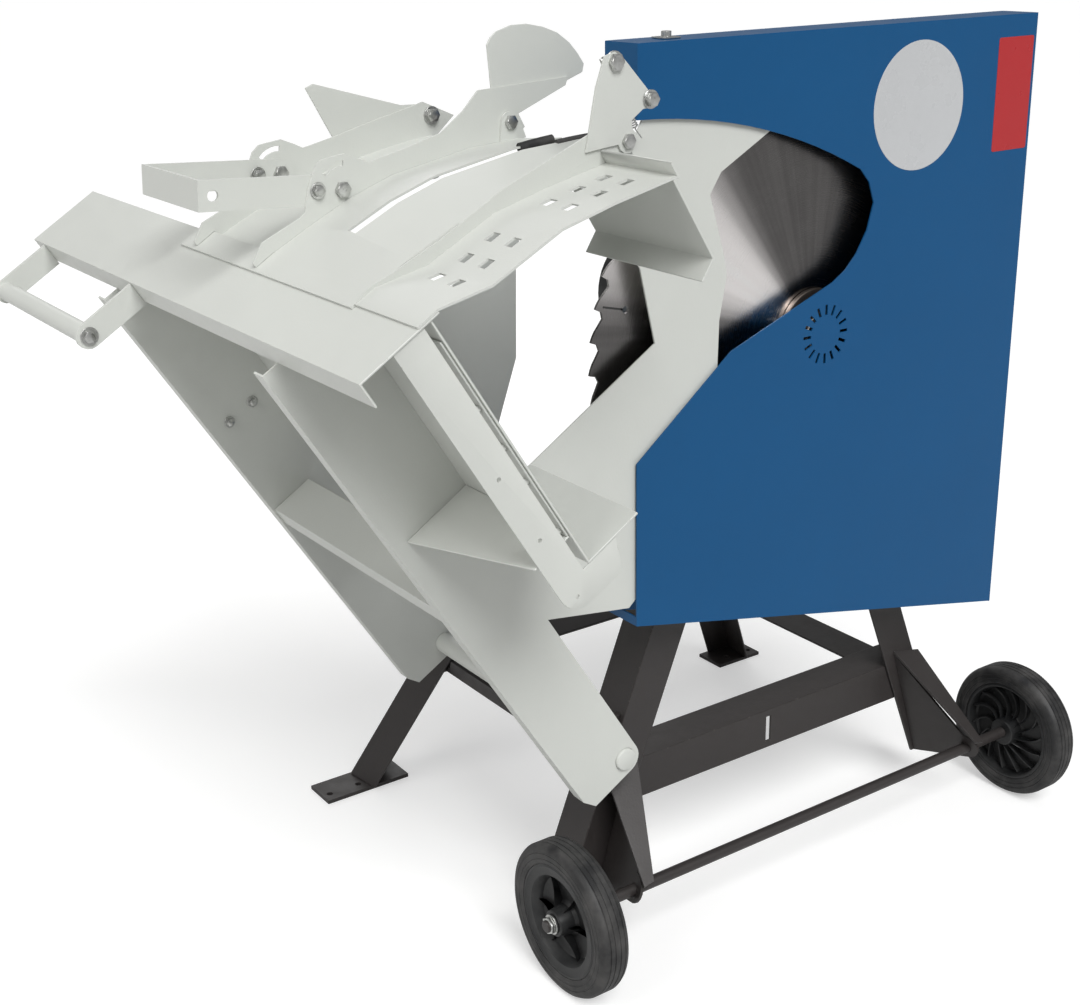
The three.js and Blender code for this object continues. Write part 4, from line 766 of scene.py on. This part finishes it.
# the cutters are taken out of the piece at once, so that nothing is left to work out later
def carve(piece, cutter):
    data = bpy.data.meshes.new("cutter")
    cutter.to_mesh(data)
    cutter.free()
    tool = bpy.data.objects.new("cutter", data)
    bpy.context.scene.collection.objects.link(tool)
    cut = piece.modifiers.new("slots", "BOOLEAN")
    cut.operation, cut.object, cut.solver, cut.use_self = "DIFFERENCE", tool, "EXACT", True
    depsgraph = bpy.context.evaluated_depsgraph_get()
    finished = bpy.data.meshes.new_from_object(piece.evaluated_get(depsgraph))
    piece.modifiers.clear()
    piece.data = finished
    bpy.data.objects.remove(tool)
    finished.set_sharp_from_angle(angle=math.radians(meshValues["sharp"]))


holeValues = {"radius": 2.6, "long": 16, "y": -226, "places": ((4, 584), (4, 496), (4, 410))}


def drillMesh(values):
    reach, radius = values["long"], values["radius"]
    profile = [(-reach, 0), (-reach, radius), (reach, radius), (reach, 0)]
    return merged([aim(turned(profile, 20), onRocker(u, values["y"], v), (0, 1, 0)) for u, v in values["places"]])


carve(sheets["trough_end_frame"], drillMesh(holeValues))

hubAt = at(0, 0, drawing["hubHeight"])
blade = settle(aim(bladeMesh(bladeValues), hubAt, (1, 0, 0)), "ground_blade", "blade", "steel", ("saw_blade",), 32)
carve(blade, aim(slotCutters(bladeValues), hubAt, (1, 0, 0)))


# turned from a node's near end along the hub's line
def onHubLine(nodeName, profile, finish, steps, extra=()):
    low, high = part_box(nodeName)
    middle = (low + high) / 2
    mesh = aim(merged([turned(profile, steps), *extra]), Vector((middle.x, low.y, middle.z)), (0, 1, 0))
    return settle(mesh, nodeName + "_turned", bodyOfNode[nodeName], finish, (nodeName,), 30)


flangeLow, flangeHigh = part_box("outer_flange")
flangeLong = (flangeHigh.y - flangeLow.y) * 1000
flangeRadius = (flangeHigh.z - flangeLow.z) * 500
flangePiece = onHubLine("outer_flange", [
    (0, 0), (0, flangeRadius * 0.55), (1.2, flangeRadius * 0.60), (1.2, flangeRadius * 0.90),
    (2.2, flangeRadius * 0.985), (3.4, flangeRadius), (flangeLong - 0.8, flangeRadius),
    (flangeLong, flangeRadius - 0.8), (flangeLong, 0),
], "flange_steel", 96)
nutLow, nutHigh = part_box("arbor_nut")
nutLong = (nutHigh.y - nutLow.y) * 1000
nutRadius = (nutHigh.z - nutLow.z) * 500
endRadius = nutRadius * 0.45
onHubLine(
    "arbor_nut", [(0.2, 0), (0.2, endRadius), (nutLong - 2, endRadius), (nutLong - 2, 0)], "zinc", 40,
    [hexHead(nutRadius, nutLong - 0.1, 0.05)])
print("blade and drive made")

nodeBoltValues = {"headShare": 0.35, "headMost": 6.0, "crown": 3.2, "ends": 3.6, "radius": 4.6}


# stands for a node that is a bolt along Y with its head towards the near side
def boltFor(nodeName, head, washer, values):
    low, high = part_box(nodeName)
    middle = (low + high) / 2
    height = min(values["headMost"], (high.y - low.y) * 1000 * values["headShare"])
    shank = (high.y - low.y) * 1000 - height - values["ends"]
    place = Vector((middle.x, low.y + (height + values["crown"]) / 1000, middle.z))
    bolt = boltMesh(head, height, washer, shank, values["radius"])
    settle(aim(bolt, place, (0, -1, 0)), nodeName + "_threaded", bodyOfNode[nodeName], "zinc", (nodeName,), 30)


for name, head, washer in (
    ("near_hinge_pin", 8.4, 10.4), ("far_hinge_pin", 8.4, 10.4), ("lever_top_bolt", 9.4, 11.4),
    ("near_arm_bolt", 9.4, 11.2), ("far_arm_bolt", 9.4, 11.2),
):
    boltFor(name, head, washer, nodeBoltValues)

# loose fasteners: body, finish, head radius and height, washer and shank, way of the head, places
nearSide = (0, -1, 0)
intoBay = (-math.cos(tilt), 0, -math.sin(tilt))
looseBolts = {
    "wall_bolts": (
        "rocker", "white_paint", 5.0, 3.6, 0, 0, intoBay, [onRocker(31.2, -212, v) for v in (652, 600, 552, 480)]),
    "far_plate_bolts": (
        "rocker", "zinc", 5.4, 4.0, 7.5, 0, nearSide, [onRocker(u, 411.8, 503) for u in (-9, -49)]),
    "lever_lower_bolt": (
        "near_guard", "zinc", 8.0, 5.0, 10.0, 14, nearSide, [onRocker(hingeU + 46, -113.5, hingeV + 19)]),
    "inner_arm_bolts": (
        "log_hood", "zinc", 6.6, 4.2, 9.0, 10, nearSide, [onRocker(125.6, y, 789.4) for y in (109.4, 257.5)]),
    "far_hood_bolt": (
        "log_hood", "zinc", 8.6, 5.6, 10.8, 12, nearSide, [onRocker(hingeU - 12, 264.4, hingeV + 2)]),
}
for name, (body, finish, head, height, washer, shank, way, places) in looseBolts.items():
    parts = [aim(boltMesh(head, height, washer, shank), place, way) for place in places]
    settle(merged(parts), name, body, finish, (), 30)

roofValues = {
    "ridge": 783, "fall": 0.13, "rivetsU": (136, 216, 296), "rivetsY": (-27, 27), "rivetRadius": 4.6,
    "rivetHeight": 2.2,
}


# a point on the roof strip over the blade, and the way out of it
def roofPoint(u, y):
    height = roofValues["ridge"] - roofValues["fall"] * abs(y)
    v = math.sqrt(height ** 2 - u ** 2)
    return onRocker(u, y, v), (onRocker(u, y, v) - onRocker(0, y, 0)).normalized()


rivets = [
    aim(domeMesh(roofValues["rivetRadius"], roofValues["rivetHeight"]), *roofPoint(u, y))
    for u in roofValues["rivetsU"] for y in roofValues["rivetsY"]]
settle(merged(rivets), "roof_rivets", "rocker", "white_paint", (), 40)

# black bars along the slot's near edge and a thicker block at its far end, where the slot shows dark lines
slotStripValues = {
    "edge": {"from": 343, "to": 424, "y": -10.5, "radius": 3.6, "steps": 8},
    "block": {"from": 312, "to": 352, "y": 12, "radius": 5.4, "steps": 4},
}


def slotStripMesh(start, end, y, radius, steps):
    return barMesh([roofPoint(start + i * (end - start) / steps, y)[0] for i in range(steps + 1)], radius, 16)


slotStrips = [slotStripMesh(*part.values()) for part in slotStripValues.values()]
settle(merged(slotStrips), "slot_black_strips", "rocker", "tyre", (), 40)

springValues = {
    "u": 388, "y": -97, "top": 768, "bottom": 700, "coil": 4.2, "wire": 0.8, "turns": 26, "steps": 10,
    "hookTop": 784, "hookBottom": 684,
}


# the guard's return spring, hooked over the tail of the lever's upper bolt
def springMesh(values):
    u, y, top, bottom = (values[k] for k in ("u", "y", "top", "bottom"))
    path = [onRocker(u, y, values["hookTop"]), onRocker(u, y, top + 3)]
    steps = values["turns"] * values["steps"]
    for i in range(steps + 1):
        angle = math.tau * i / values["steps"]
        v = top + (bottom - top) * i / steps
        path.append(onRocker(u + values["coil"] * math.cos(angle), y + values["coil"] * math.sin(angle), v))
    path += [onRocker(u, y, bottom - 3), onRocker(u + 2, y, values["hookBottom"])]
    return barMesh(path, values["wire"], 6)


settle(springMesh(springValues), "guard_spring", "near_guard", "zinc", (), 50)

# motor plate bolts: head radius and height, washer, and how far in from the plate's edges they stand
plateValues = {"head": 7.4, "height": 4.8, "washer": 9.6, "proud": 0.2, "inX": 17, "inZ": 18}
plateLow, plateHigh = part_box("motor_plate")
plateBolts = [
    aim(boltMesh(plateValues["head"], plateValues["height"], plateValues["washer"]),
        Vector((x, plateHigh.y + plateValues["proud"] / 1000, z)), (0, 1, 0))
    for x in (plateLow.x + plateValues["inX"] / 1000, plateHigh.x - plateValues["inX"] / 1000)
    for z in (plateLow.z + plateValues["inZ"] / 1000, plateHigh.z - plateValues["inZ"] / 1000)]
settle(merged(plateBolts), "motor_plate_bolts", "base", "zinc", (), 30)

cowlValues = {"turns": (45, 135, 225, 315), "fromEdge": 9, "sunk": 0.4, "radius": 3.6, "height": 2.0}
cowlLow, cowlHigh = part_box("fan_cowl")
cowlMiddle = (cowlLow + cowlHigh) / 2
cowlRadius = (cowlHigh.z - cowlLow.z) / 2
cowlScrews = []
for turn in cowlValues["turns"]:
    way = Vector((math.cos(math.radians(turn)), 0, math.sin(math.radians(turn))))
    ringAt = Vector((cowlMiddle.x, cowlLow.y + cowlValues["fromEdge"] / 1000, cowlMiddle.z))
    place = ringAt + way * (cowlRadius - cowlValues["sunk"] / 1000)
    cowlScrews.append(aim(domeMesh(cowlValues["radius"], cowlValues["height"]), place, way))
settle(merged(cowlScrews), "cowl_screws", "base", "zinc", (), 40)

boxValues = {"radius": 2.8, "height": 1.4, "sunk": 0.2, "inset": 10}
boxLow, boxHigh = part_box("switch_box")
boxInset = boxValues["inset"] / 1000
boxScrews = [
    aim(domeMesh(boxValues["radius"], boxValues["height"]),
        Vector((boxHigh.x - boxValues["sunk"] / 1000, y, z)), (1, 0, 0))
    for y in (boxLow.y + boxInset, boxHigh.y - boxInset) for z in (boxLow.z + boxInset, boxHigh.z - boxInset)]
settle(merged(boxScrews), "box_screws", "base", "zinc", (), 40)

inletValues = {
    "turns": (90, 210, 330), "ring": 10, "rootUp": 29.8,
    "pin": [(0, 0), (0, 2.4), (19.0, 2.4), (20.4, 1.6), (20.8, 0)],
}
inletLow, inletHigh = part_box("power_inlet")
inletMiddle = (inletLow + inletHigh) / 2
pins = []
for turn in inletValues["turns"]:
    way = Vector((math.cos(math.radians(turn)), math.sin(math.radians(turn)), 0))
    root = Vector((inletMiddle.x, inletMiddle.y, inletLow.z + inletValues["rootUp"] / 1000))
    pins.append(aim(turned(inletValues["pin"], 20), root + way * (inletValues["ring"] / 1000), (0, 0, -1)))
settle(merged(pins), "inlet_pins", "base", "zinc", (), 40)
print("fasteners made")

patchValues = {
    "face": -30.0, "thickness": 0.35, "corner": 3, "left": 288, "right": 355, "low": 979, "high": 1124,
    "roundX": 146, "roundZ": 1050, "roundRadius": 80, "latchEdge": 0.5,
}


def stripMesh(values):
    mesh = bmesh.new()
    left, right, low, high, face = (values[k] for k in ("left", "right", "low", "high", "face"))
    size = ((right - left) / 1000, values["thickness"] / 1000, (high - low) / 1000, 1)
    place = at((left + right) / 2, face - values["thickness"] / 2, (low + high) / 2)
    bmesh.ops.create_cube(mesh, size=1, matrix=Matrix.Translation(place) @ Matrix.Diagonal(size))
    acrossSheet = [e for e in mesh.edges if abs(e.verts[0].co.y - e.verts[1].co.y) > 1e-5]
    easeEdges(mesh, acrossSheet, values["corner"], 6)
    return mesh


def roundPatchMesh(radius):
    return turned([
        (0, 0), (0, radius), (0.3, radius - 0.1), (0.34, radius - 2.4), (0.3, radius - 2.8), (0.32, 0)], 96)


settle(stripMesh(patchValues), "plain_strip", "base", "red_patch", (), 30)
roundAt = at(patchValues["roundX"], patchValues["face"], patchValues["roundZ"])
roundPatch = aim(roundPatchMesh(patchValues["roundRadius"]), roundAt, (0, -1, 0))
settle(roundPatch, "plain_round_patch", "base", "pale_patch", (), 30)
rounded("cover_latch", patchValues["latchEdge"])
print("housing details made")

viewValues = {
    "x": -1425, "y": -1467, "z": 1291.5, "yaw": 34.35, "pitch": 20.173, "roll": -1.18, "sensor": 36, "lens": 53.88,
    "nearest": 0.05, "farthest": 60,
}


def aimCamera(values):
    yaw, pitch, roll = (math.radians(values[k]) for k in ("yaw", "pitch", "roll"))
    level = Vector((math.cos(yaw), -math.sin(yaw), 0))
    ahead = Vector((math.sin(yaw) * math.cos(pitch), math.cos(yaw) * math.cos(pitch), -math.sin(pitch)))
    above = level.cross(ahead)
    right = math.cos(roll) * level + math.sin(roll) * above
    up = -math.sin(roll) * level + math.cos(roll) * above
    data = bpy.data.cameras.new("photoCamera")
    data.sensor_width, data.lens = values["sensor"], values["lens"]
    data.clip_start, data.clip_end = values["nearest"], values["farthest"]
    camera = bpy.data.objects.new("photoCamera", data)
    bpy.context.scene.collection.objects.link(camera)
    turn = Matrix((right, up, -ahead)).transposed().to_4x4()
    camera.matrix_world = Matrix.Translation(at(values["x"], values["y"], values["z"])) @ turn
    bpy.context.scene.camera = camera


aimCamera(viewValues)

# the floor also glows a little where the camera sees it, as paper does under a studio's light
floorValues = {
    "halfSize": 30, "under": 0.0006, "glow": 0.42,
    "shader": {"Base Color": (0.68, 0.68, 0.677, 1), "Emission Color": (1, 1, 1, 1), "Roughness": 0.9,
               "Specular IOR Level": 0.1},
}


# goes from one value to another where the camera sees the surface itself
def seenByCamera(tree, otherwise, seen):
    direct = tree.nodes.new("ShaderNodeLightPath").outputs["Is Camera Ray"]
    return spread(tree, direct, 0.0, 1.0, otherwise, seen)


def floorSheet(values):
    mesh = bmesh.new()
    bmesh.ops.create_grid(mesh, x_segments=1, y_segments=1, size=values["halfSize"])
    bmesh.ops.translate(mesh, verts=mesh.verts, vec=(0, 0, -values["under"]))
    data = bpy.data.meshes.new("studioFloor")
    mesh.to_mesh(data)
    mesh.free()
    paper = bpy.data.materials.new("paleFloor")
    paper.use_nodes = True
    tree = paper.node_tree
    shader = setInputs(tree, tree.nodes["Principled BSDF"], values["shader"])
    tree.links.new(seenByCamera(tree, 0.0, values["glow"]), shader.inputs["Emission Strength"])
    data.materials.append(paper)
    floor = bpy.data.objects.new("studioFloor", data)
    bpy.context.scene.collection.objects.link(floor)


floorSheet(floorValues)

# soft boxes: place, what they face, size across and down, watts and tint
lights = {
    "keyFromLeft": ((-3.6, -0.5, 2.9), (-0.4, 0.0, 0.6), 2.4, 2.4, 52, (1.0, 0.99, 0.975)),
    "fillFromRight": ((2.6, -3.6, 2.2), (0.1, 0.0, 0.6), 2.4, 1.6, 4, (0.98, 0.99, 1.0)),
    "fromBehind": ((1.2, 3.8, 2.8), (0.0, 0.0, 0.7), 2.6, 1.8, 22, (1.0, 1.0, 1.0)),
}
for name, (place, target, across, down, watts, tint) in lights.items():
    lamp = bpy.data.lights.new(name, "AREA")
    lamp.shape, lamp.size, lamp.size_y, lamp.energy, lamp.color = "RECTANGLE", across, down, watts, tint
    holder = bpy.data.objects.new(name, lamp)
    holder.location = place
    holder.rotation_euler = (Vector(target) - Vector(place)).to_track_quat("-Z", "Y").to_euler()
    bpy.context.scene.collection.objects.link(holder)

# one very soft light from above, even over the whole floor
aboveValues = {"strength": 2.62, "width": 32, "turnX": 42, "turnY": -12}
above = bpy.data.lights.new("fromAbove", "SUN")
above.energy, above.angle = aboveValues["strength"], math.radians(aboveValues["width"])
holder = bpy.data.objects.new("fromAbove", above)
holder.rotation_euler = (math.radians(aboveValues["turnX"]), math.radians(aboveValues["turnY"]), 0)
bpy.context.scene.collection.objects.link(holder)

airValues = {"light": 0.27, "seen": 1.0}
world = bpy.data.worlds.new("studioAir")
world.use_nodes = True
airTree = world.node_tree
air = setInputs(airTree, airTree.nodes["Background"], {"Color": (1, 1, 1, 1)})
airTree.links.new(seenByCamera(airTree, airValues["light"], airValues["seen"]), air.inputs["Strength"])
bpy.context.scene.world = world
bpy.context.scene.view_settings.view_transform = "Standard"
print("camera, floor and light set")
